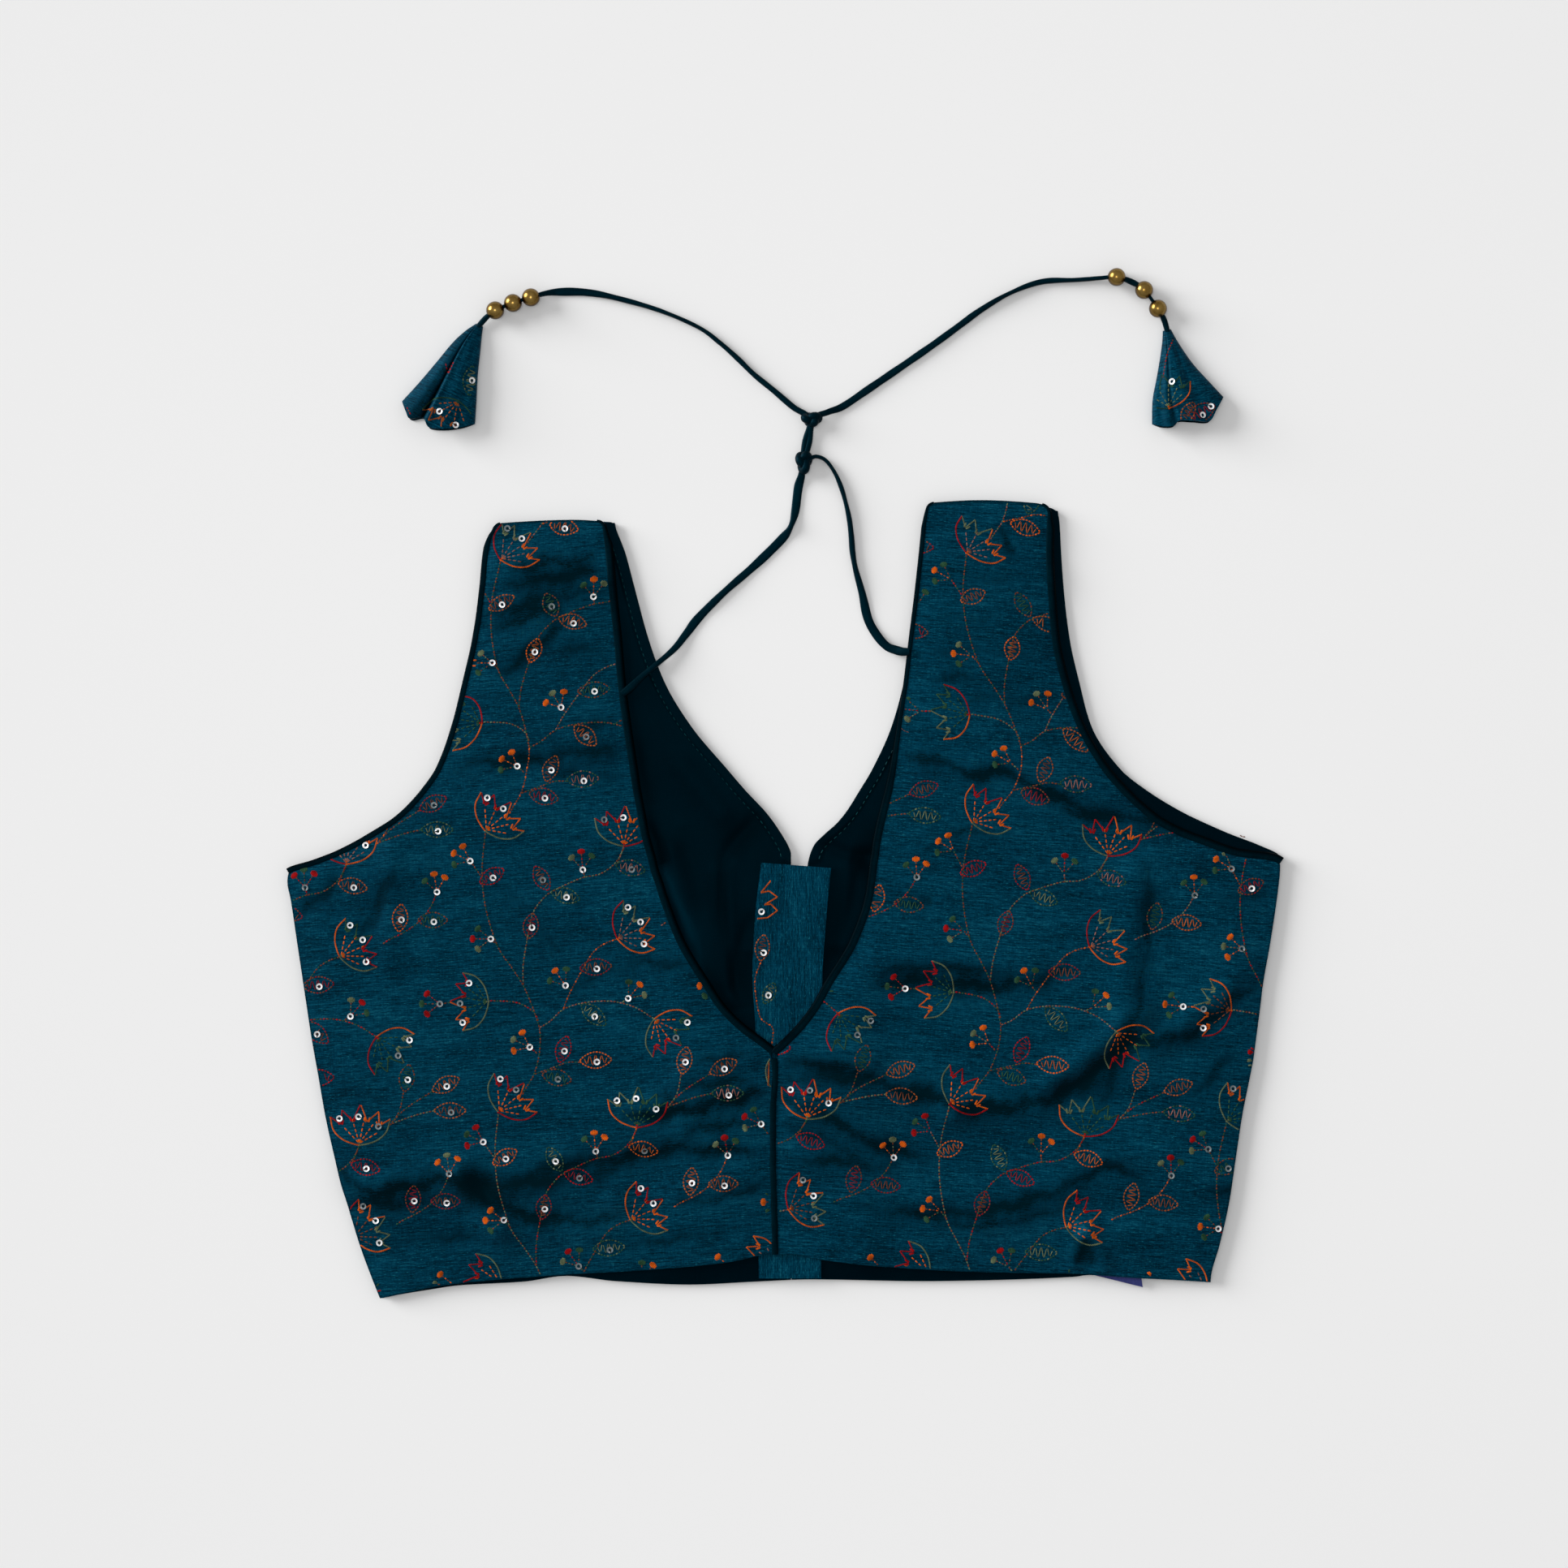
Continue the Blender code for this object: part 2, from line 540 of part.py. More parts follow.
def neck_binding_width(side, y):
    """How wide the neck binding shows: the right strap turns it under towards the shoulder."""
    turned = np.clip((y - TURNS_UNDER_FROM) / (TURNED_UNDER_AT - TURNS_UNDER_FROM), 0.0, 1.0)
    turned = turned**2 * (3 - 2 * turned) * (side == "right")
    return NECK_BINDING + (NECK_BINDING_TURNED - NECK_BINDING) * turned


def neck_binding(side, x, y, z):
    """The bias binding on one side of the back's neck, from the shoulder to the point of the V."""
    at = (y[:, 0] >= V_POINT_Y - 0.5).nonzero()[0]
    line = np.stack([x[at, 0], y[at, 0]], axis=1)
    normals = outward(line, -1 if side == "left" else 1)
    normals[0] = np.array([0.0, 1.0]) / max(float(normals[0, 1]), STEEPEST_MITRE)
    width = neck_binding_width(side, y[at, 0])
    trim_strip(f"back_neck_binding_{side}", line, z[at, 0], normals, width, "dark_trim")


def armhole_piping(side, x, y, z):
    """The piping round one armhole of the back, from the side seam to the shoulder."""
    corner = UNDERARM_LEFT_Y if side == "left" else UNDERARM_RIGHT_Y
    width = ARM_PIPING_LEFT if side == "left" else ARM_PIPING_RIGHT
    at = (y[:, -1] >= corner - 0.5).nonzero()[0]
    line = np.stack([x[at, -1], y[at, -1]], axis=1)
    normals = outward(line, 1 if side == "left" else -1)
    trim_strip(f"armhole_piping_{side}", line, z[at, -1], normals, width, "dark_trim")


def centre_back_piping(y, z):
    """The piping down the centre-back seam, between the two halves."""
    at = (y[:, 0] < V_POINT_Y).nonzero()[0]
    y, z = y[at, 0], z[at, 0]
    across = np.array([-0.5, -0.2, 0.2, 0.5]) * CENTRE_PIPING
    x = centre_x(y)[:, None] + across[None, :]
    crown = np.array([0.1, 0.7, 0.7, 0.1])
    top = points(x, y[:, None], z[:, None] + BACK_THICK + crown[None, :])
    low = points(x, y[:, None], z[:, None])
    wall("centre_back_piping", top, low, "dark_trim")


def care_label():
    """A plain label that hangs out below the back's hem, over the front's lining."""
    across = np.linspace(-1, 1, 5)[None, :]
    along = np.linspace(0, 1, 5)[:, None]
    x = 150.0 + 13.4 * across + 2.2 * along
    y = -166.0 - 10.2 * along - 3.3 * across * along
    past_hem = np.clip((along - 0.75) / 0.25, 0.0, 1.0)
    z = LINING_TOP + SEAM_GAP + 0.1 - 0.3 * past_hem + 0.0 * across
    wall("care_label", points(x, y, z + LABEL_THICK), points(x, y, z), "plain_label")


def smooth_route(route):
    """A smooth line through hand-placed points, read off at even steps."""
    p = np.array(route, float)
    ends = np.vstack([2 * p[0] - p[1], p, 2 * p[-1] - p[-2]])
    t = np.linspace(0, 1, 24, endpoint=False)[:, None]
    pieces = []
    for a, b, c, d in zip(ends[:-3], ends[1:-2], ends[2:-1], ends[3:]):
        cubic = 2 * b + (c - a) * t + (2 * a - 5 * b + 4 * c - d) * t**2 + (3 * b - 3 * c + d - a) * t**3
        pieces.append(cubic / 2)
    fine = np.vstack([*pieces, p[-1:]])
    length = np.concatenate([[0], np.cumsum(np.linalg.norm(np.diff(fine, axis=0), axis=1))])
    count = max(FEWEST_POINTS, round(length[-1] / DORI_STEP) + 1)
    even = np.linspace(0, length[-1], count)
    return np.stack([np.interp(even, length, fine[:, k]) for k in range(3)], axis=1)


def dori(name, route):
    """One stretch of the dori as a round soft tube."""
    data = bpy.data.curves.new(name, "CURVE")
    data.dimensions = "3D"
    data.bevel_depth = DORI_RADIUS * MM
    data.bevel_resolution = 2
    data.use_fill_caps = True
    line = smooth_route(route)
    spline = data.splines.new("POLY")
    spline.points.add(len(line) - 1)
    for point, place in zip(spline.points, line):
        point.co = (*(place * MM), 1.0)
    obj = bpy.data.objects.new(name, data)
    bpy.context.scene.collection.objects.link(obj)
    data.materials.append(material("dark_trim"))


def on_bead(bead, toward):
    """The point just off a bead's surface on the side of another point."""
    centre = np.array([*BEADS[bead], BEAD_LIE])
    way = np.array(toward, float) - centre
    return tuple(centre + way / np.linalg.norm(way) * (BEAD_RADIUS + SEAM_GAP))


def on_knot(knot, toward, clear=KNOT_CLEAR):
    """The point just off a knot's surface on the side of another point."""
    centre, half = (np.array(part) for part in KNOTS[knot])
    way = np.array(toward, float) - centre
    way /= np.linalg.norm(way)
    return tuple(centre + way * (1 / np.linalg.norm(way / half) + clear))


def bead_place(bead):
    return (*BEADS[bead], BEAD_LIE)


def tassel_tip(tassel):
    """The middle of a tassel's tip."""
    half_height = TASSEL_SIDES_AT[tassel][0][TASSEL_COLUMNS.index("half_height")]
    return np.array([*TASSEL_TIPS[tassel][0], (1 - TASSEL_FLAT) * half_height + TASSEL_LIFT])


def link(name, start, end):
    """A short stretch of dori between two pieces threaded on it."""
    middle = tuple((np.array(start) + np.array(end)) / 2)
    dori(name, (start, middle, end))


def dori_and_beads():
    """The tied dori: two lower stretches, the stem between the knots, two tails and the links at the beads."""
    dori("dori_left_lower", (*LEFT_LOWER_ROUTE, on_knot("knot_lower", (7.4, 196.4, 2.9))))
    slanted = on_knot("knot_lower", (15.6, 206.4, 3.0), KNOT_CLEAR_SLANTED)
    dori("dori_right_lower", (*RIGHT_LOWER_ROUTE, slanted))
    lower, upper = KNOTS["knot_lower"][0], KNOTS["knot_upper"][0]
    link("dori_stem", on_knot("knot_lower", upper), on_knot("knot_upper", lower))
    left_start = on_knot("knot_upper", (5.6, 226.4, 3.0))
    right_start = on_knot("knot_upper", (20.0, 225.4, 3.0))
    dori("dori_left_tail", (left_start, *LEFT_TAIL_ROUTE, on_bead("bead_left_1", (-106.0, 280.4, 2.9))))
    dori("dori_right_tail", (right_start, *RIGHT_TAIL_ROUTE, on_bead("bead_right_1", (141.0, 287.3, 3.0))))
    for number in (1, 2):
        first, second = f"bead_right_{number}", f"bead_right_{number + 1}"
        ends = on_bead(first, bead_place(second)), on_bead(second, bead_place(first))
        link(f"dori_right_link_{number}", *ends)
    for side in ("left", "right"):
        name = "tassel_" + side
        tip, way = tassel_tip(name), np.array([*TASSEL_TIPS[name][1], 0.0])
        start = on_bead(f"bead_{side}_3", tip)
        dori(f"dori_{side}_link_3", (start, tuple(tip - 2.2 * way), tuple(tip - TIP_CLEAR * way)))


def round_piece(name, centre, half, segments, rings, finish):
    """A ball, stretched to its half sizes."""
    bm = bmesh.new()
    bmesh.ops.create_uvsphere(bm, u_segments=segments, v_segments=rings, radius=1.0)
    bmesh.ops.scale(bm, vec=half, verts=bm.verts)
    bmesh.ops.translate(bm, vec=centre, verts=bm.verts)
    add_object(name, mesh_from(name, bm, 80.0), finish)


def tassel_ring(name, share, left, right, half_height):
    """One ring of a flattened cone: a half-oval crown over a flat underside, reaching to the mouth's shape."""
    tip, way = (np.array(part) for part in TASSEL_TIPS[name])
    turn = np.linspace(0, 2 * np.pi, TASSEL_SIDES, endpoint=False)
    widest = TASSEL_SIDES_AT[name][-1]
    at_mouth = widest[1] + (widest[2] - widest[1]) * (1 + np.cos(turn)) / 2
    mouth = TASSEL_MOUTHS[name]
    known = column(mouth, MOUTH_COLUMNS, "across")
    reach = smooth_through(at_mouth, known, column(mouth, MOUTH_COLUMNS, "reach"))
    lateral = left + (right - left) * (1 + np.cos(turn)) / 2
    flat = TASSEL_FLAT * half_height
    z = np.maximum(half_height * (1 + np.sin(turn)), flat) - flat + TASSEL_LIFT
    across = np.array([-way[1], way[0]])
    plan = tip + share * reach[:, None] * way + lateral[:, None] * across
    return np.column_stack([plan, z])


def tassel(name):
    """A cone of cloth, open at its mouth, its wall one cloth thick."""
    outer = np.array([tassel_ring(name, *row) for row in TASSEL_SIDES_AT[name]])
    way = TASSEL_TIPS[name][1]
    across = np.array([-way[1], way[0], 0.0])
    inner = []
    for ring in outer[: TASSEL_HOLLOW_FROM - 1 : -1]:
        middle = ring.mean(axis=0)
        low, high = ring[:, 2].min(), ring[:, 2].max()
        squeezed = middle + (ring - middle) * (1 - 2 * TASSEL_WALL / np.ptp(ring @ across))
        share = (ring[:, 2] - low) / (high - low)
        squeezed[:, 2] = low + TASSEL_WALL + share * (high - low - 2 * TASSEL_WALL)
        inner.append(squeezed)
    loops = [*outer, *inner]
    bm = bmesh.new()
    verts = [[bm.verts.new(p) for p in loop] for loop in loops]
    for first, second in zip(verts[:-1], verts[1:]):
        for k in range(TASSEL_SIDES):
            n = (k + 1) % TASSEL_SIDES
            bm.faces.new((first[k], first[n], second[n], second[k]))
    bm.faces.new(verts[0])
    bm.faces.new(verts[-1])
    add_object(name, mesh_from(name, bm), "teal_cloth")


def main():
    clear_scene()
    for side in ("left", "right"):
        front_shell(side)
        front_lining(side)
    front_placket()
    for side in ("left", "right"):
        x, y, z = back_panel(side)
        neck_binding(side, x, y, z)
        armhole_piping(side, x, y, z)
    centre_back_piping(y, z)
    care_label()
    dori_and_beads()
    for name, (centre, half) in KNOTS.items():
        round_piece(name, centre, half, 12, 8, "dark_trim")
    for name in BEADS:
        round_piece(name, bead_place(name), (BEAD_RADIUS,) * 3, 12, 8, "gold_bead")
    for name in TASSEL_TIPS:
        tassel(name)


main()
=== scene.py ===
# %% [markdown]
# # A sleeveless choli, laid flat with its back up
#
# A choli is the short fitted blouse that is worn with a sari or a lehenga. This one is cut from teal
# slub cloth with a stitched vine of flowers, leaves and berries, and sewn-on ring sequins. It is lined
# in dark teal, its neck is bound, its armholes and centre seam are piped, and a pair of strings, the
# dori, is tied across the deep V of the back.
#
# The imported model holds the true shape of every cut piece. This script dresses it: thin cloth with its
# creases, the bindings, the embroidery stitch by stitch, the sequins, the dori, beads and tassels.

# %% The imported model
import json
import math

import bpy
import numpy as np
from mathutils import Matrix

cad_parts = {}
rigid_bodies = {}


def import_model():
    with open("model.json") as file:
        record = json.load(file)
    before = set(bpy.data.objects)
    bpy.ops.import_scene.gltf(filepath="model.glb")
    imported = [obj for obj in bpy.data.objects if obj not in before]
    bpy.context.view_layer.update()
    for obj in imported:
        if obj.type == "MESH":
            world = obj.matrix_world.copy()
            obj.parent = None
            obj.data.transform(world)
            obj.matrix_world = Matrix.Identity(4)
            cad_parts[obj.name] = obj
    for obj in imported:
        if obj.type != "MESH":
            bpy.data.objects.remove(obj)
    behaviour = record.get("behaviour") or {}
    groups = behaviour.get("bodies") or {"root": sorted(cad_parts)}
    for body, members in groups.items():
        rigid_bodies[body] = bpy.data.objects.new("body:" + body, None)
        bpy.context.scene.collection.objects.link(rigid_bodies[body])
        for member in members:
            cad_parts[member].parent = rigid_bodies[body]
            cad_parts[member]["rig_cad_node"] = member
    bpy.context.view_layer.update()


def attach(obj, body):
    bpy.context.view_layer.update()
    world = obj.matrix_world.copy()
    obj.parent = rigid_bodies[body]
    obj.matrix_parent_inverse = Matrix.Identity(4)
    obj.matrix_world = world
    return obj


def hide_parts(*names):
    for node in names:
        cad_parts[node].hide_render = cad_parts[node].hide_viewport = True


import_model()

MM = 0.001

# %% [markdown]
# ## The camera
#
# A garment laid on a table is photographed from straight above. One photograph pixel is 0.375 mm on
# the cloth, so the camera's height follows from its lens: the whole picture's width has to fit at the
# height of the cloth. The frame's origin lies a little below the picture's middle.

# %% Camera straight above
PHOTO_PIXELS = 1932
MM_PER_PIXEL = 0.375
ORIGIN_PIXEL = (967, 1108)
LENS_MM = 80.0
SENSOR_MM = 36.0
CLOTH_HEIGHT = 5.0


def put(name, data):
    """An object that holds data, linked into the scene."""
    made = bpy.data.objects.new(name, data)
    bpy.context.scene.collection.objects.link(made)
    return made


def add_camera():
    """A camera that looks straight down, as high as the lens needs to take in the picture's width."""
    data = bpy.data.cameras.new("camera")
    data.lens = LENS_MM
    data.sensor_width = SENSOR_MM
    height = PHOTO_PIXELS * MM_PER_PIXEL * LENS_MM / SENSOR_MM + CLOTH_HEIGHT
    middle_x = (PHOTO_PIXELS / 2 - ORIGIN_PIXEL[0]) * MM_PER_PIXEL
    middle_y = (ORIGIN_PIXEL[1] - PHOTO_PIXELS / 2) * MM_PER_PIXEL
    camera = put("camera", data)
    camera.location = (middle_x * MM, middle_y * MM, height * MM)
    bpy.context.scene.camera = camera
    print("camera height in millimetres:", round(height))


add_camera()

# %% [markdown]
# ## Meshes from arrays
#
# Every new piece is a surface worked out with numpy: a grid of points, or a profile carried along a
# line. The helpers below put such points into a mesh. Sizes are in millimetres up to that moment and
# in metres in the mesh. A closed piece has its faces pointing out when the volume that they enclose
# comes out positive, so the sign of that volume says whether to turn them all round.

# %% From arrays to a piece


def enclosed_volume(points, faces):
    """The sum over the faces, cut into triangles from their first corner, of a third of base times height."""
    first = points[faces[:, 0]]
    total = 0.0
    for k in range(1, faces.shape[1] - 1):
        total += np.sum(first * np.cross(points[faces[:, k]], points[faces[:, k + 1]]))
    return total / 6.0


def add_piece(name, points, faces, finish, replaces=(), grain=None, marks=None, crisp=50.0):
    """One piece of the garment from points in millimetres and faces with the same number of corners.
    grain is a point's place in the weave, in millimetres, and marks are named numbers for each point."""
    points = np.asarray(points, float).reshape(-1, 3)
    if enclosed_volume(points, faces) < 0:
        faces = faces[:, ::-1]
    mesh = bpy.data.meshes.new(name)
    mesh.vertices.add(len(points))
    mesh.vertices.foreach_set("co", (points * MM).ravel())
    mesh.loops.add(faces.size)
    mesh.loops.foreach_set("vertex_index", faces.ravel().astype(np.int32))
    mesh.polygons.add(len(faces))
    mesh.polygons.foreach_set("loop_start", np.arange(len(faces), dtype=np.int32) * faces.shape[1])
    if grain is not None:
        layer = mesh.uv_layers.new(name="grain")
        layer.data.foreach_set("uv", (np.asarray(grain, float).reshape(-1, 2)[faces.ravel()] * MM).ravel())
    for mark, values in (marks or {}).items():
        attribute = mesh.attributes.new(mark, "FLOAT", "POINT")
        attribute.data.foreach_set("value", np.asarray(values, np.float32).ravel())
    mesh.update(calc_edges=True)
    mesh.shade_smooth()
    mesh.set_sharp_from_angle(angle=math.radians(crisp))
    mesh.materials.append(finish)
    piece = put(name, mesh)
    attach(piece, "root")
    if replaces:
        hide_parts(*replaces)
    return piece


def grid_faces(rows, columns):
    """The four corners of each cell of a grid of points."""
    number = np.arange(rows * columns).reshape(rows, columns)
    corners = (number[:-1, :-1], number[:-1, 1:], number[1:, 1:], number[1:, :-1])
    return np.stack(corners, axis=-1).reshape(-1, 4)


def wall_faces(rows, columns):
    """Two grids, the second after the first and turned over, joined by a rim round their border."""
    number = np.arange(rows * columns).reshape(rows, columns)
    top = grid_faces(rows, columns)
    rim = np.concatenate([number[0, :-1], number[:-1, -1], number[-1, :0:-1], number[:0:-1, 0]])
    after = np.roll(rim, -1)
    below = rows * columns
    sides = np.stack([rim, rim + below, after + below, after], axis=-1)
    return np.concatenate([top, top[:, ::-1] + below, sides])


def tube_faces(stations, sides):
    """Cells round and along a tube, with each end closed by a strip of cells across it."""
    ring = np.arange(stations * sides).reshape(stations, sides)
    beside = np.roll(ring, -1, axis=1)
    walls = np.stack([ring[:-1], beside[:-1], beside[1:], ring[1:]], axis=-1).reshape(-1, 4)
    low = np.arange(sides // 2 - 1)
    cap = np.stack([low, low + 1, sides - 2 - low, sides - 1 - low], axis=-1)
    return np.concatenate([walls, cap[:, ::-1], cap + (stations - 1) * sides])


def loop_faces(stations, sides):
    """Cells of a surface that closes on itself both ways, like a ring."""
    ring = np.arange(stations * sides).reshape(stations, sides)
    beside, after = np.roll(ring, -1, axis=1), np.roll(ring, -1, axis=0)
    return np.stack([ring, beside, np.roll(beside, -1, axis=0), after], axis=-1).reshape(-1, 4)


print("cells of a 3 by 4 wall:", len(wall_faces(3, 4)))

# %% [markdown]
# ## Finishes
#
# Silk-look slub cloth is woven with a weft that is thick and thin along its length. The uneven threads
# show as short light and dark streaks that all run across the cloth. A noise pattern stretched a
# hundredfold along the weft gives these streaks, a finer one gives single threads, and a third, the
# other way, the warp. The same patterns drive the bump, so light and colour agree. The pattern reads
# the piece's own grain map, which turns with the piece.

# %% Node helpers


def new_finish(name, roughness, metallic=0.0, specular=0.5, tint=(1.0, 1.0, 1.0)):
    """A Principled finish, and the tree and the shader to which colour and bump are wired.
    tint colours what it mirrors, as a dyed silk does."""
    finish = bpy.data.materials.new(name)
    finish.use_nodes = True
    tree = finish.node_tree
    shader = tree.nodes["Principled BSDF"]
    shader.inputs["Roughness"].default_value = roughness
    shader.inputs["Metallic"].default_value = metallic
    shader.inputs["Specular IOR Level"].default_value = specular
    shader.inputs["Specular Tint"].default_value = (*tint, 1.0)
    return finish, tree, shader


def add_node(tree, kind, values=None, **settings):
    """A node with its settings, and its sockets' own values."""
    node = tree.nodes.new(kind)
    for key, value in settings.items():
        setattr(node, key, value)
    for socket, value in (values or {}).items():
        node.inputs[socket].default_value = value
    return node


def own_place(tree):
    """The place in the piece itself, for a pattern that runs through it."""
    return add_node(tree, "ShaderNodeTexCoord").outputs["Object"]


def grain_of(tree):
    """The place in the weave, from the piece's grain map."""
    return add_node(tree, "ShaderNodeUVMap", uv_map="grain").outputs["UV"]


def mark_of(tree, name):
    """The number that the piece's points carry under this name."""
    return add_node(tree, "ShaderNodeAttribute", attribute_name=name).outputs["Fac"]


def streaks(tree, source, scale, detail=2.0):
    """Noise on a place that is stretched by scale, so that its grains become streaks."""
    place = add_node(tree, "ShaderNodeMapping", {"Scale": scale})
    noise = add_node(tree, "ShaderNodeTexNoise", {"Scale": 1.0, "Detail": detail, "Roughness": 0.6})
    tree.links.new(source, place.inputs["Vector"])
    tree.links.new(place.outputs["Vector"], noise.inputs["Vector"])
    return noise.outputs["Fac"]


def ramp(tree, source, stops):
    """Colours by a number: each stop is a place from 0 to 1 and a colour."""
    node = add_node(tree, "ShaderNodeValToRGB")
    elements = node.color_ramp.elements
    while len(elements) < len(stops):
        elements.new(0.5)
    for element, (place, colour) in zip(elements, stops):
        element.position = place
        element.color = (*colour, 1.0)
    tree.links.new(source, node.inputs["Fac"])
    return node.outputs["Color"]


def sums(tree, terms, start=0.0, clamp=False):
    """start plus each source times its share."""
    total = None
    for source, share in terms:
        node = add_node(tree, "ShaderNodeMath", {1: share, 2: start}, operation="MULTIPLY_ADD")
        tree.links.new(source, node.inputs[0])
        if total is not None:
            tree.links.new(total, node.inputs[2])
        total = node.outputs[0]
    node.use_clamp = clamp
    return total


def mixed(tree, share, first, second):
    """The first colour, and as much of the second as share says. A colour is a source or three numbers."""
    node = add_node(tree, "ShaderNodeMix", data_type="RGBA")
    tree.links.new(share, node.inputs["Factor"])
    for socket, colour in ((node.inputs[6], first), (node.inputs[7], second)):
        if isinstance(colour, tuple):
            socket.default_value = (*colour, 1.0)
        else:
            tree.links.new(colour, socket)
    return node.outputs[2]


def add_bump(tree, shader, height, strength, depth_mm):
    """Small relief from a number, depth_mm deep."""
    bump = add_node(tree, "ShaderNodeBump", {"Strength": strength, "Distance": depth_mm * MM})
    tree.links.new(height, bump.inputs["Height"])
    tree.links.new(bump.outputs["Normal"], shader.inputs["Normal"])


# %% The teal slub cloth
TEAL_STOPS = (
    (0.10, (0.0, 0.006, 0.012)),
    (0.36, (0.0, 0.018, 0.036)),
    (0.52, (0.0, 0.029, 0.056)),
    (0.68, (0.001, 0.041, 0.076)),
    (0.90, (0.004, 0.072, 0.112)),
)
TEAL_FLECK = (0.010, 0.120, 0.155)
# Painted shade, a green-black, for the creases.
CREASE_SHADE_COLOUR = (0.0, 0.004, 0.006)
# The dark edge line's colour: painted shade along the back's hem, and a dark line along the other edges.
EDGE_DARK_AND_SHADE = (0.0, 0.005, 0.008)
TEAL_SHINE = (0.0, 0.45, 0.75)
TEAL_MIDDLE = 0.465
FLECKS_FROM = -5.4
# Where the painted crease shade starts to show through the streaks, and how far out it reaches.
CREASE_SHADE_FROM = -5.52
CREASE_SHADE_REACH = 3.4


def slub_cloth():
    """Streaks along the weft, soft clouds, light flecks, painted crease shade ragged along the threads, and
    a dark edge line. Noise stays near a half, so each pattern is counted from there and given its own share."""
    finish, tree, shader = new_finish("teal_slub", 0.5, specular=0.12, tint=TEAL_SHINE)
    grain = grain_of(tree)
    slubs = streaks(tree, grain, (80.0, 1250.0, 1.0), 3.0)
    threads = streaks(tree, grain, (260.0, 2400.0, 1.0))
    flecks = streaks(tree, grain, (750.0, 3000.0, 1.0), 1.0)
    warp = streaks(tree, grain, (1900.0, 150.0, 1.0))
    clouds = streaks(tree, grain, (14.0, 60.0, 1.0))
    parts = ((slubs, 1.3), (threads, 1.2), (flecks, 0.6), (warp, 0.45), (clouds, 0.7))
    tone = sums(tree, parts, TEAL_MIDDLE - 0.5 * sum(share for _, share in parts), clamp=True)
    cloth = ramp(tree, tone, TEAL_STOPS)
    fleck = sums(tree, ((flecks, 6.0), (threads, 3.0)), FLECKS_FROM, clamp=True)
    cloth = mixed(tree, fleck, cloth, TEAL_FLECK)
    # Painted shade in the creases, ragged along the weft's streaks.
    mark = mark_of(tree, "crease")
    uneven = ((mark, 3.0), (slubs, 3.2), (threads, 4.2), (flecks, 2.6))
    dark = sums(tree, uneven, CREASE_SHADE_FROM, clamp=True)
    near = sums(tree, ((mark, CREASE_SHADE_REACH),), clamp=True)
    both = add_node(tree, "ShaderNodeMath", operation="MULTIPLY")
    tree.links.new(dark, both.inputs[0])
    tree.links.new(near, both.inputs[1])
    cloth = mixed(tree, both.outputs[0], cloth, CREASE_SHADE_COLOUR)
    # A dark edge line: painted shade along the back's hem, and dark lines along its sides and shoulder and
    # the front's edges.
    dark_edge_and_shade = mark_of(tree, "dark_edge_and_shade")
    cloth = mixed(tree, dark_edge_and_shade, cloth, EDGE_DARK_AND_SHADE)
    tree.links.new(cloth, shader.inputs["Base Color"])
    relief = sums(tree, ((slubs, 0.5), (threads, 0.4), (warp, 0.25)))
    add_bump(tree, shader, relief, 0.5, 0.25)
    return finish


TEAL_SLUB = slub_cloth()
print("cloth finish nodes:", len(TEAL_SLUB.node_tree.nodes))

# %% [markdown]
# The lining is a smooth, closely woven cloth, so dark that its folds show mostly as a faint sheen. Its
# folds have painted shade, and one ridge a painted highlight. The binding, the piping and the dori are
# bias strips of a satin-like cloth of nearly the same colour, and the binding has painted shade where it
# turns down. The label is a plain woven tape.

# %% Plain dark cloths, and the label's tape
# How dark the painted shade in a fold is, and how bright the painted highlight on a ridge, as shares of the
# light tone.
FOLD_SHADE_SHARE = 0.05
SHINE_SHARE = 3.0


def plain_cloth(name, deep, light, roughness, ribs, specular, relief_mm):
    """A fine weave: threads one way, threads across them, and a soft uneven tone. Marks on the piece say
    where painted shade darkens a fold and where a painted highlight lights a ridge."""
    finish, tree, shader = new_finish(name, roughness, specular=specular, tint=TEAL_SHINE)
    grain = grain_of(tree)
    weft = streaks(tree, grain, (200.0, ribs, 1.0))
    warp = streaks(tree, grain, (ribs, 200.0, 1.0))
    broad = streaks(tree, grain, (45.0, 45.0, 1.0))
    tone = sums(tree, ((weft, 0.35), (warp, 0.35), (broad, 0.5)), -0.1)
    cloth = ramp(tree, tone, ((0.35, deep), (0.65, light)))
    # Painted shade in the folds, and a painted highlight on a ridge.
    mark = mark_of(tree, "crease")
    cloth = mixed(tree, mark, cloth, tuple(FOLD_SHADE_SHARE * part for part in light))
    shine = mark_of(tree, "shine")
    cloth = mixed(tree, shine, cloth, tuple(SHINE_SHARE * part for part in light))
    tree.links.new(cloth, shader.inputs["Base Color"])
    add_bump(tree, shader, sums(tree, ((weft, 0.5), (warp, 0.5))), 0.4, relief_mm)
    return finish


LINING = plain_cloth("dark_lining", (0.0, 0.0015, 0.0029), (0.0, 0.0033, 0.0059), 0.40, 3200.0, 0.06, 0.1)
BINDING = plain_cloth("dark_binding", (0.0, 0.0030, 0.0052), (0.0, 0.0082, 0.0130), 0.50, 2600.0, 0.04, 0.15)
DORI = plain_cloth("dori_cloth", (0.0, 0.0025, 0.0045), (0.0, 0.0085, 0.0135), 0.45, 2200.0, 0.12, 0.2)
LABEL = plain_cloth("label_tape", (0.026, 0.029, 0.115), (0.050, 0.055, 0.190), 0.6, 1500.0, 0.1, 0.2)
print("plain cloths:", [cloth.name for cloth in (LINING, BINDING, DORI, LABEL)])
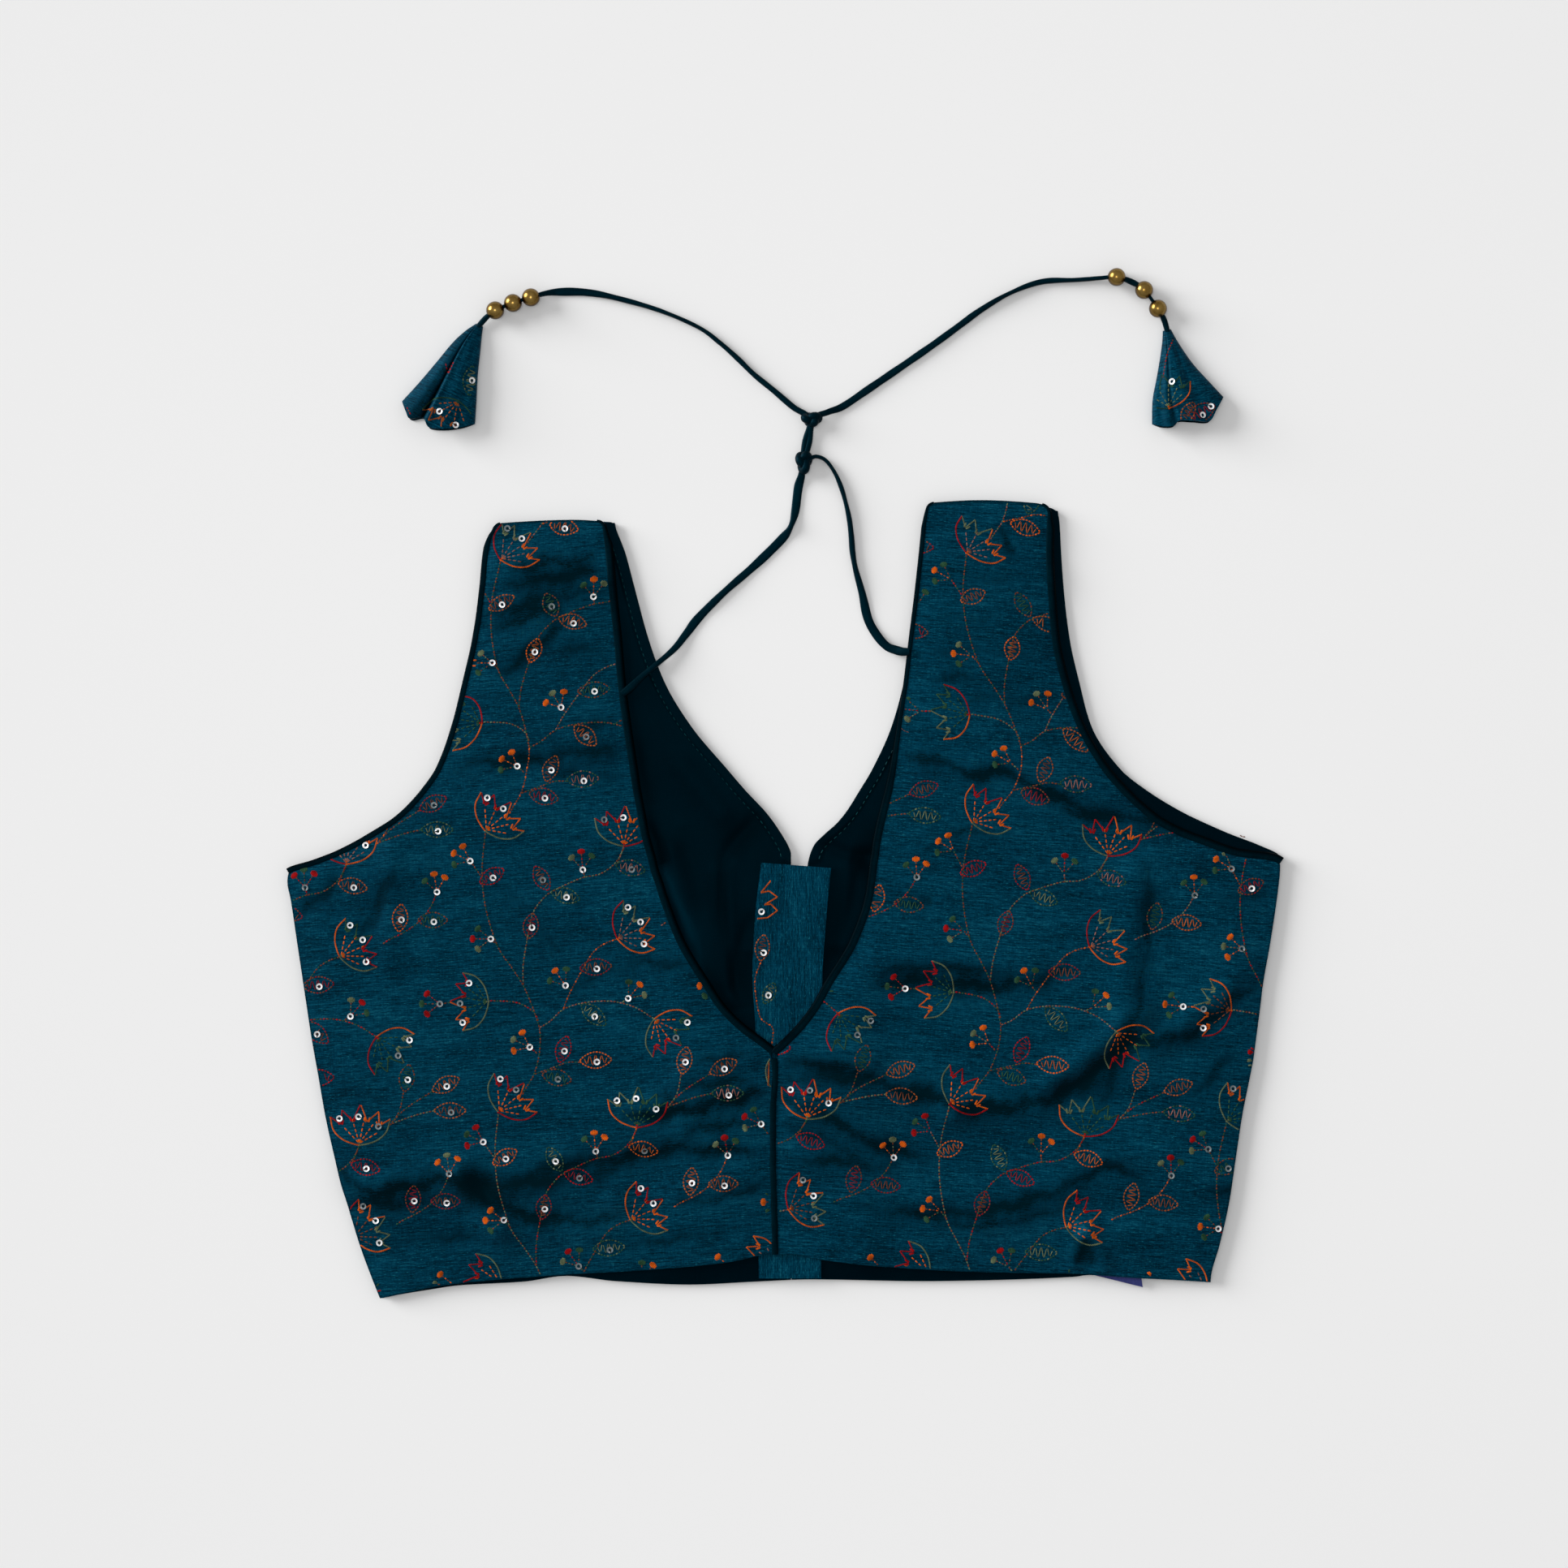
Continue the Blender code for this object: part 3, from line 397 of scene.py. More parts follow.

# %% [markdown]
# Embroidery thread is shiny rayon. Eight dyes are enough: orange, rust, red, wine, copper, rose, sage
# and a dark green. The sequins are pressed from white foil and catch the light. The beads are antique
# gold, with a painted brown shade that grows from the top towards the sides and underside.

# %% Threads, sequins and gold


def dyed_thread(name, colour):
    """Rayon: its colour a little uneven from stitch to stitch, and a sheen."""
    tint = tuple(0.15 + 0.85 * part for part in colour)
    finish, tree, shader = new_finish(name, 0.45, specular=0.12, tint=tint)
    place = own_place(tree)
    uneven = streaks(tree, place, (420.0, 420.0, 420.0), 1.0)
    strands = streaks(tree, place, (3800.0, 3800.0, 900.0), 1.0)
    deep = tuple(0.6 * part for part in colour)
    light = tuple(min(1.0, 1.3 * part) for part in colour)
    dyed = ramp(tree, sums(tree, ((uneven, 0.7), (strands, 0.3))), ((0.35, deep), (0.62, light)))
    tree.links.new(dyed, shader.inputs["Base Color"])
    add_bump(tree, shader, strands, 0.5, 0.08)
    return finish


DYES = {
    "orange": (0.48, 0.080, 0.006),
    "rust": (0.27, 0.064, 0.013),
    "red": (0.25, 0.004, 0.005),
    "wine": (0.16, 0.007, 0.012),
    "copper": (0.125, 0.036, 0.015),
    "rose": (0.18, 0.078, 0.062),
    "sage": (0.092, 0.115, 0.062),
    "green": (0.018, 0.055, 0.028),
}
THREADS = {dye: dyed_thread("thread_" + dye, colour) for dye, colour in DYES.items()}
DYE_NUMBER = {dye: number for number, dye in enumerate(DYES)}
FACING_THREAD = dyed_thread("facing_thread", (0.002, 0.030, 0.036))
SEWING = dyed_thread("sewing_thread", (0.004, 0.012, 0.014))


FOIL_LOW = (0.70, 0.71, 0.73)
FOIL_HIGH = (0.88,) * 3
FOIL_LOST = (0.16, 0.19, 0.20)
GOLD_DEEP = (0.27, 0.155, 0.032)
GOLD_LIGHT = (0.40, 0.260, 0.075)
# Painted shade, brown, for a bead's sides and underside.
GOLD_RIM_SHADE = (0.060, 0.030, 0.006)


def foil():
    """White pressed foil: bright, glossy, with a faint uneven tone."""
    finish, tree, shader = new_finish("sequin_foil", 0.3, metallic=0.2, specular=0.6)
    place = own_place(tree)
    tone = ramp(tree, streaks(tree, place, (300.0,) * 3), ((0.35, FOIL_LOW), (0.6, FOIL_HIGH)))
    dull = mark_of(tree, "dull")
    tree.links.new(mixed(tree, dull, tone, FOIL_LOST), shader.inputs["Base Color"])
    return finish


def gold():
    """Antique gold, uneven in tone, with painted brown shade towards its sides and underside."""
    finish, tree, shader = new_finish("antique_gold", 0.26, metallic=1.0)
    place = own_place(tree)
    uneven = streaks(tree, place, (260.0,) * 3, 3.0)
    tone = ramp(tree, uneven, ((0.35, GOLD_DEEP), (0.62, GOLD_LIGHT)))
    # Painted shade towards the sides and underside.
    rim_shade = mark_of(tree, "rim_shade")
    tone = mixed(tree, rim_shade, tone, GOLD_RIM_SHADE)
    tree.links.new(tone, shader.inputs["Base Color"])
    add_bump(tree, shader, uneven, 0.25, 0.2)
    return finish


FOIL = foil()
GOLD = gold()
print("thread dyes:", list(DYES))

# %% [markdown]
# ## The dori
#
# A dori is a narrow tube of bias cloth. It lies flat like a tape where it is relaxed, and turns narrow
# and thick where it twists, because its girth stays the same. Here there are two, each sewn into the
# neck seam of one strap. They are tied together twice, and each ends in three beads and a tassel.
# Both are seen from end to end, so their lengths are the photograph's.
#
# The route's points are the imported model's, in millimetres, with the width that shows at each.

# %% The dori's routes
LEFT_DORI = (
    (-75.2, 94.8, 5.4, 3), (-71, 98.2, 5.2, 3.4), (-66, 103, 4.3, 3), (-60.8, 107.4, 3.7, 2.6),
    (-51.4, 115.6, 2.1, 2.9), (-45.5, 123, 1.1, 3.7), (-39.8, 130.4, 0.8, 4.1), (-28.6, 141.6, 0.8, 3.2),
    (-15.8, 152.8, 0.8, 3.8), (-7.6, 160.4, 0.8, 4.1), (-0.4, 167.8, 0.8, 3.9), (2.8, 172.6, 0.8, 2.6),
    (4.8, 179.4, 0.8, 3.8), (6.2, 190.4, 0.8, 4.1), (7.8, 196.4, 1.8, 3.2), (8.2, 202.4, 3, 2.6),
    (9.4, 212, 1.5, 2.8), (11.6, 222, 3, 2.6), (3.8, 227.8, 1.6, 2.9), (-5.2, 235.5, 0.8, 2.8),
    (-14.2, 242.8, 0.8, 2.4), (-21.8, 250.2, 0.8, 2.5), (-30.2, 257.6, 0.8, 2.2), (-40.2, 264.8, 0.8, 1.9),
    (-58.6, 272.7, 0.8, 2.1), (-80, 278.8, 0.8, 2.7), (-92.6, 281, 0.8, 3.5), (-104, 281.2, 0.8, 3.6),
    (-110.6, 280.4, 2, 2.6), (-117.4, 278.2, 4.2, 1.8), (-125.7, 275.6, 4.2, 1.8),
    (-133.9, 272.2, 4.2, 1.8), (-138.4, 268.8, 2.8, 2.6), (-142.2, 264.6, 2, 2.6),
)
RIGHT_DORI = (
    (57.6, 114.4, 5.6, 3.2), (54.4, 114.4, 5, 3.8), (51.4, 115.2, 3.8, 4), (47.2, 117, 2.4, 4),
    (42.6, 122.2, 1.2, 4.1), (38.5, 129.8, 0.8, 4.2), (35.8, 141.6, 0.8, 3.4), (32.7, 153, 0.8, 2.6),
    (31.4, 160.6, 0.8, 2.7), (30.8, 168, 0.8, 2.6), (29.9, 175.6, 0.8, 2.4), (28.3, 183, 0.8, 2.1),
    (26.1, 190.6, 0.8, 2.2), (23, 197.6, 0.8, 1.8), (18.8, 203.2, 1.6, 1.7), (14.2, 204.8, 2.8, 1.9),
    (9.8, 203.4, 3.4, 2.4), (11.4, 212, 1.6, 2.8), (13.2, 222, 3.4, 2.6), (20, 225.4, 2.2, 3),
    (27, 228.2, 0.8, 3.4), (38, 235.6, 0.8, 3.4), (48.6, 242.8, 0.8, 3.5), (59.4, 250.2, 0.8, 3.3),
    (70.3, 257.8, 0.8, 3.2), (80.7, 265.4, 0.8, 3.2), (91, 272.9, 0.8, 2.8), (104.2, 280.5, 0.8, 2.1),
    (118.8, 285.8, 0.8, 2.7), (134.2, 286.6, 0.8, 2.1), (146, 287.4, 2.4, 2), (153.4, 287.6, 4.2, 1.8),
    (160.6, 285.4, 3.2, 3), (166.1, 281.6, 4.2, 1.8), (172.5, 273, 4.2, 1.8), (175.5, 268, 2.6, 2.6),
    (177.2, 262.4, 2, 2.6),
)
DORI_HALF_GIRTH = 5.3
DORI_THIN, DORI_THICK = 1.3, 3.1
DORI_STEP = 1.1
BORE_WIDTH = 2.1
BORE_FADE = 0.3
BORE_HEIGHT = 2.5


def smooth_rows(rows, step):
    """A smooth curve through rows of numbers, read off at even steps of its first three.
    Between two rows each number follows the cubic that also looks at the row before and the row after."""
    known = np.array(rows, float)
    ends = np.vstack([2 * known[0] - known[1], known, 2 * known[-1] - known[-2]])
    t = np.linspace(0, 1, 24, endpoint=False)[None, :, None]
    a, b, c, d = (ends[k : len(known) - 1 + k, None, :] for k in range(4))
    cubic = 2 * b + (c - a) * t + (2 * a - 5 * b + 4 * c - d) * t**2 + (3 * b - 3 * c + d - a) * t**3
    fine = np.vstack([(cubic / 2).reshape(-1, known.shape[1]), known[-1:]])
    length = so_far(fine[:, :3])
    even = np.linspace(0, length[-1], round(length[-1] / step) + 1)
    return np.stack([np.interp(even, length, column) for column in fine.T], axis=1)


def so_far(line):
    """How far along a line each of its points is: the running sum of its steps."""
    return np.concatenate([[0.0], np.cumsum(np.linalg.norm(np.diff(line, axis=0), axis=1))])


def unit(vectors):
    """The same directions with length one."""
    return vectors / np.linalg.norm(vectors, axis=-1, keepdims=True)


def carried(line, half_wide, half_thick, sides=12, squareness=2.6, closed=False):
    """A rounded oblong section carried along a line, flat side down.
    A point of the section is the cosine and sine of its angle, each raised to 2 / squareness."""
    if closed:
        tangent = unit(np.roll(line, -1, axis=0) - np.roll(line, 1, axis=0))
    else:
        tangent = unit(np.gradient(line, axis=0))
    side = unit(np.cross([0.0, 0.0, 1.0], tangent))
    over = np.cross(tangent, side)
    turn = np.linspace(0, 2 * np.pi, sides, endpoint=False)
    wide, thick = (np.sign(f) * np.abs(f) ** (2 / squareness) for f in (np.cos(turn), np.sin(turn)))
    across = (half_wide[:, None] * wide)[..., None] * side[:, None, :]
    return line[:, None, :] + across + (half_thick[:, None] * thick)[..., None] * over[:, None, :]


def clamped(values):
    """The values, held between 0 and 1."""
    return np.clip(values, 0.0, 1.0)


def grain_grid(along, across):
    """Every pair of a place along a strip and a place across it."""
    return np.stack(np.broadcast_arrays(along[:, None], across[None, :]), axis=-1)


def dori(name, rows, replaces):
    """One whole dori as a soft flat tube, and the line that it follows."""
    fine = smooth_rows(rows, DORI_STEP)
    width = fine[:, 3]
    thick = np.clip(DORI_HALF_GIRTH - width, DORI_THIN, DORI_THICK)
    inside_bead = clamped((BORE_WIDTH - width) / BORE_FADE) * (fine[:, 2] > BORE_HEIGHT)
    thick = thick * (1 - inside_bead) + width * inside_bead
    line = fine[:, :3].copy()
    line[:, 2] = np.maximum(line[:, 2], thick / 2 + 0.1)
    distance = so_far(line)
    ripple = 1 + 0.03 * np.sin(distance / 2.3) + 0.025 * np.sin(distance / 5.1 + 1.0)
    points = carried(line, width / 2 * ripple, thick / 2)
    girth = np.linspace(0, 2 * DORI_HALF_GIRTH, points.shape[1])
    grain = grain_grid(distance, girth)
    piece = add_piece(name, points, tube_faces(*points.shape[:2]), DORI, replaces, grain=grain)
    print(name, "length in millimetres:", round(distance[-1]))
    return piece, line


left_dori, left_line = dori("dori_left", LEFT_DORI, (
    "dori_left_lower", "dori_stem", "dori_left_tail", "dori_left_link_3",
))
right_dori, right_line = dori("dori_right", RIGHT_DORI, (
    "dori_right_lower", "dori_right_tail", "dori_right_link_1", "dori_right_link_2", "dori_right_link_3",
))

# %% [markdown]
# ### Knots and beads
#
# Each knot is the soft lump of an overhand knot. The line of a real one is a trefoil: it goes round
# twice while it weaves over and under three times. A short piece of the same tube is carried along a
# trefoil that is squeezed to the knot's size. A bead is a turned profile, a ball with a hole, closed
# on itself, and set on the line of its dori.

# %% Knots
KNOTS = {
    "lower_knot": ("knot_lower", (8.8, 202.4, 3.1), (3.8, 5.0, 3.0)),
    "upper_knot": ("knot_upper", (12.4, 222.0, 3.1), (4.7, 3.4, 3.0)),
}
KNOT_TUBE = 1.95
KNOT_REACH = (1.25, 1.35, 1.0)


def knot(name, node, centre, half):
    """A tube along a trefoil, (sin t + 2 sin 2t, cos t - 2 cos 2t, -3 sin 3t), scaled to the knot's size."""
    t = np.linspace(0, 2 * np.pi, 72, endpoint=False)
    x, y = np.sin(t) + 2 * np.sin(2 * t), np.cos(t) - 2 * np.cos(2 * t)
    trefoil = np.stack([x, y, -3 * np.sin(3 * t)], axis=1)
    line = np.array(centre) + trefoil / 3 * (np.array(half) - KNOT_TUBE) * KNOT_REACH
    radius = np.full(len(t), KNOT_TUBE)
    points = carried(line, radius, radius, squareness=2.2, closed=True)
    girth = np.linspace(0, 2 * np.pi * KNOT_TUBE, points.shape[1])
    faces = loop_faces(*points.shape[:2])
    return add_piece(name, points, faces, DORI, (node,), grain=grain_grid(t * 4, girth))


knots = {name: knot(name, *values) for name, values in KNOTS.items()}
print("knots:", list(knots))

# %% Beads
BEAD_RADIUS = 4.15
BEAD_HOLE = 1.0
BEADS = {
    "left": ((-117.4, 278.2), (-125.7, 275.6), (-133.9, 272.2)),
    "right": ((153.4, 287.6), (166.1, 281.6), (172.5, 273.0)),
}
BEAD_LIE = BEAD_RADIUS + 0.05
# How far down the painted rim shade reaches, in shares of the radius, and how fast it grows.
RIM_SHADE_REACH = 0.80
RIM_SHADE_POWER = 0.85


def turned(profile, centre, axis, segments=40):
    """A profile of (radius, place along the axis) turned about an axis through centre."""
    axis = unit(np.array(axis, float))
    side = unit(np.cross([0.0, 0.0, 1.0], axis))
    over = np.cross(axis, side)
    turn = np.linspace(0, 2 * np.pi, segments, endpoint=False)
    rim = np.cos(turn)[:, None] * side + np.sin(turn)[:, None] * over
    radius, along = profile[:, 0], profile[:, 1]
    return np.array(centre) + radius[:, None, None] * rim[None] + along[:, None, None] * axis


def bead(name, node, place, line):
    """A ball with a hole and rounded lips, on the direction of the dori where it passes. A painted brown
    shade grows from the top down, so that its sides and underside look darker."""
    centre = np.array([*place, BEAD_LIE])
    near = int(np.argmin(np.linalg.norm(line - centre, axis=1)))
    axis = line[min(near + 3, len(line) - 1)] - line[near - 3]
    axis[2] = 0.0
    edge = math.asin(BEAD_HOLE / BEAD_RADIUS)
    angle = np.linspace(edge, np.pi - edge, 26)
    ball = np.stack([BEAD_RADIUS * np.sin(angle), -BEAD_RADIUS * np.cos(angle)], axis=1)
    bore = np.array([[BEAD_HOLE - 0.2, 3.6], [BEAD_HOLE - 0.25, 0.0], [BEAD_HOLE - 0.2, -3.6]])
    points = turned(np.vstack([ball, bore]), centre, axis)
    # Painted shade: darker from the top down towards the sides and underside.
    below_top = 1 - (points[..., 2] - BEAD_LIE) / BEAD_RADIUS
    marks = {"rim_shade": clamped(below_top / RIM_SHADE_REACH) ** RIM_SHADE_POWER}
    faces = loop_faces(*points.shape[:2])
    return add_piece(name, points, faces, GOLD, (node,), marks=marks, crisp=60.0)


beads = {}
for hand, line in (("left", left_line), ("right", right_line)):
    for number, place in enumerate(BEADS[hand], 1):
        beads[f"{hand}_{number}"] = bead(f"gold_bead_{hand}_{number}", f"bead_{hand}_{number}", place, line)
print("beads:", len(beads))

# %% [markdown]
# ## The garment by its measures
#
# The flat garment is described by height: a row for each section across it, with where its edges
# stand. Between the rows an edge is a smooth curve that never overshoots. The hems and the shoulders
# are given across instead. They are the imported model's measures, apart from the left neck edge, which
# stands up to 1.8 mm further out, so the fine cloth that is made from them lies on the same forms.

# %% Sections, hems and shoulders
SECTION_COLUMNS = (
    "y", "side_left", "side_right", "arm_left", "arm_right",
    "back_neck_left", "back_neck_right", "front_neck_left", "front_neck_right",
)
SECTIONS = (
    (-185, -187, 196.5, -187, 196.5, -4.5, -4.5, 3, 3),
    (-175, -191, 197, -191, 197, -4.5, -4.5, 3, 3),
    (-160, -196.5, 201, -196.5, 201, -4.5, -4.5, 3, 3),
    (-140, -202.5, 205.5, -202.5, 205.5, -5, -5, 3, 3),
    (-120, -208, 208.5, -208, 208.5, -5.5, -5.5, 3, 3),
    (-100, -212.5, 211.5, -212.5, 211.5, -5.5, -5.5, 3, 3),
    (-80, -216, 215.5, -216, 215.5, -4.5, -4.5, 3, 3),
    (-73, -217.3, 216.8, -217.3, 216.8, -5, -5, 3, 3),
    (-69, -218, 217.3, -218, 217.3, -9, -1, 3, 3),
    (-60, -219.5, 218.5, -219.5, 218.5, -21, 8, 3, 3),
    (-50, -221, 219.8, -221, 219.8, -30.8, 15.5, 3, 3),
    (-40, -222.5, 221, -222.5, 221, -37.3, 21, 3.2, 3.5),
    (-20, -225.5, 224.5, -225.5, 224.5, -49.3, 33, 3.6, 4.6),
    (0, -228.5, 227.5, -228.5, 227.5, -57.2, 40, 4, 7.6),
    (8, -230, 228.5, -230, 228.5, -59.7, 41.3, 4.2, 9.4),
    (12, -230.3, 229, -229.5, 228.9, -61.2, 41.8, 4.4, 10.2),
    (16, -224, 229.3, -218, 229, -62.2, 42.3, 4.4, 10.6),
    (18, -218.5, 229.3, -212.5, 226, -62.7, 42.6, 4, 11),
    (20, -213, 229, -207.5, 210, -63.2, 43, 3.4, 11.5),
    (25, -202, 219.5, -197.5, 195, -64.7, 43.6, 1.4, 13.6),
    (30, -193, 206.5, -189, 182, -66, 44.5, -1.5, 18.4),
    (35, -184.5, 195, -181, 172.5, -66.9, 45.6, -4.8, 24),
    (40, -178, 184.5, -175, 166, -67.8, 46.8, -8.6, 28.2),
    (50, -168.5, 168, -166, 155.5, -69.7, 49.2, -18, 34.5),
    (60, -161.5, 155.5, -159.3, 147, -71.2, 50.9, -26.6, 40.5),
    (80, -154, 142, -152, 135.5, -74.2, 53.4, -43.4, 49.5),
    (100, -149, 136.5, -147, 128.5, -76.8, 56.4, -55.5, 55),
    (120, -144.5, 132, -142.5, 124, -78.5, 58.8, -63, 58.6),
    (140, -141.5, 129.5, -139.5, 122.2, -80.6, 61.3, -68.5, 61.5),
    (160, -139.5, 128, -137.5, 121.2, -82.4, 63.5, -73.8, 64.4),
    (172, -137, 127.4, -135, 121.6, -83.6, 64.7, -77.8, 66.2),
    (185, -132, 126.6, -130, 122.2, -84, 65.9, -79, 68),
)
BACK_HEM = (
    (-188, -184.5), (-153, -178), (-100, -173.6), (-62, -171.4), (-25, -167.6), (-6, -164), (2, -164),
    (16, -166.5), (50, -170.3), (88, -172.4), (136, -173.3), (162, -175), (198, -177.2),
)
FRONT_HEM = (
    (-188, -184.5), (-164, -180.8), (-151, -179), (-120, -177.2), (-100, -174.6), (-78, -177),
    (-44, -178.6), (-13, -177.2), (12, -176.2), (64, -177), (88, -176.7), (134, -175), (140, -174.2),
    (166, -175.2), (189, -177), (198, -177.2),
)
SHOULDER = (
    (-137, 171.6), (-132, 173.8), (-97, 175.4), (-79, 174.6), (60, 181.6), (66, 183.2), (90, 184.5),
    (115, 183.2), (128, 179.6),
)
SECTION = {name: np.array(column, float) for name, column in zip(SECTION_COLUMNS, zip(*SECTIONS))}


def smooth_through(at, known, values):
    """The smooth curve through rows that rise in known: cubic pieces whose slope at a row is the harmonic
    mean of the slopes beside it, so that they never overshoot."""
    at = np.clip(np.asarray(at, float), known[0], known[-1])
    steps = np.diff(known)
    slopes = np.diff(values) / steps
    before, after = slopes[:-1], slopes[1:]
    same_way = before * after > 0
    total = np.where(same_way, before + after, 1.0)
    inner = np.where(same_way, 2 * before * after / total, 0.0)
    tangents = np.concatenate([slopes[:1], inner, slopes[-1:]])
    i = np.clip(np.searchsorted(known, at) - 1, 0, len(steps) - 1)
    t = (at - known[i]) / steps[i]
    left = values[i] * (1 + 2 * t) * (1 - t) ** 2 + tangents[i] * steps[i] * t * (1 - t) ** 2
    right = values[i + 1] * t**2 * (3 - 2 * t) + tangents[i + 1] * steps[i] * t**2 * (t - 1)
    return left + right


def edge(name, y):
    """Where a named edge of the garment stands at height y."""
    return smooth_through(y, SECTION["y"], SECTION[name])


def level(rows, x):
    """The height of a hem or a shoulder at x."""
    known, values = np.array(rows, float).T
    return smooth_through(x, known, values)


underarm = [float(edge(name, 10.0)) for name in ("side_left", "side_right")]
print("width at the underarm in millimetres:", round(underarm[1] - underarm[0]))

# %% [markdown]
# ## Folds and creases
#
# Flat cloth over cloth is never flat. The large folds are soft ridges, bells across a line, and are
# the imported model's. The creases are finer and are listed one by one: each is a shallow trough with a
# softer lip along one side, on a line that bows a little and fades out at both ends. Shot cloth goes
# nearly black where it turns away from the light, and that shade is painted: each crease also leaves a
# mark of painted shade on the points near it, which the finish reads.

# %% Large folds
# Each row: x and y of one end, x and y of the other, width, height.
BACK_FOLDS = (
    (-48, -80, -16, -75, 5, 1.5), (-66, -98, -9, -86, 6.5, 2.2), (-100, -115, -48, -108, 6, 1.9),
    (-34, -111, -9, -116, 5, 1.5), (-78, -140, -9, -129, 6, 1.5), (-204, -131, -150, -129, 8, 2.6),
    (-150, -127, -133, -152, 6, 2.4), (-128, -133, -78, -137, 7, 2.2), (-128, -153, -82, -154, 6, 1.4),
    (-181, 24, -183, -30, 6, 1.2), (-132, 156, -86, 148, 7, 1.9), (-136, 140, -100, 132, 7, 1.6),
    (-118, 74, -84, 66, 7, 1.2), (2, -70, 40, -76, 5, 1.5), (12, -90, 78, -98, 6.5, 2.4),
    (78, -98, 116, -95, 7, 1.8), (6, -99, 44, -110, 5, 1.7), (2, -122, 46, -124, 6, 1.5),
    (42, -30, 112, -30, 7, 1.6), (166, -52, 122, -84, 6, 2.8), (168, -70, 206, -40, 7, 1.8),
    (162, 14, 156, -48, 7, 1.4), (170, 22, 188, 16, 5, 1.6), (92, -150, 130, -133, 7, 1.7),
    (150, -118, 176, -119, 6, 1.4), (140, -153, 133, -168, 4, 1.5), (140, -153, 148, -168, 4, 1.5),
    (72, 160, 118, 150, 8, 1.2), (66, 60, 126, 50, 8, 1.4),
)
LINING_FOLDS = (
    (-53, 22, -44, -18, 6, 0.8), (-30, 12, -24, -46, 5, 0.6), (-48, 62, -30, 40, 6, 0.6),
    (32, 20, 26, -20, 5, 0.6), (-150, -176, -60, -174, 5, 0.4),
)


def bell(away, width):
    """e to the minus square of away over width."""
    return np.exp(-((away / width) ** 2))


def ridges(rows, x, y):
    """The height of the folds at x, y: a bell over the distance from each fold's line."""
    total = np.zeros(np.broadcast(x, y).shape)
    for x0, y0, x1, y1, width, height in rows:
        run_x, run_y = x1 - x0, y1 - y0
        along = clamped(((x - x0) * run_x + (y - y0) * run_y) / (run_x**2 + run_y**2))
        away = np.hypot(x - x0 - along * run_x, y - y0 - along * run_y)
        total = total + height * bell(away, width)
    return total
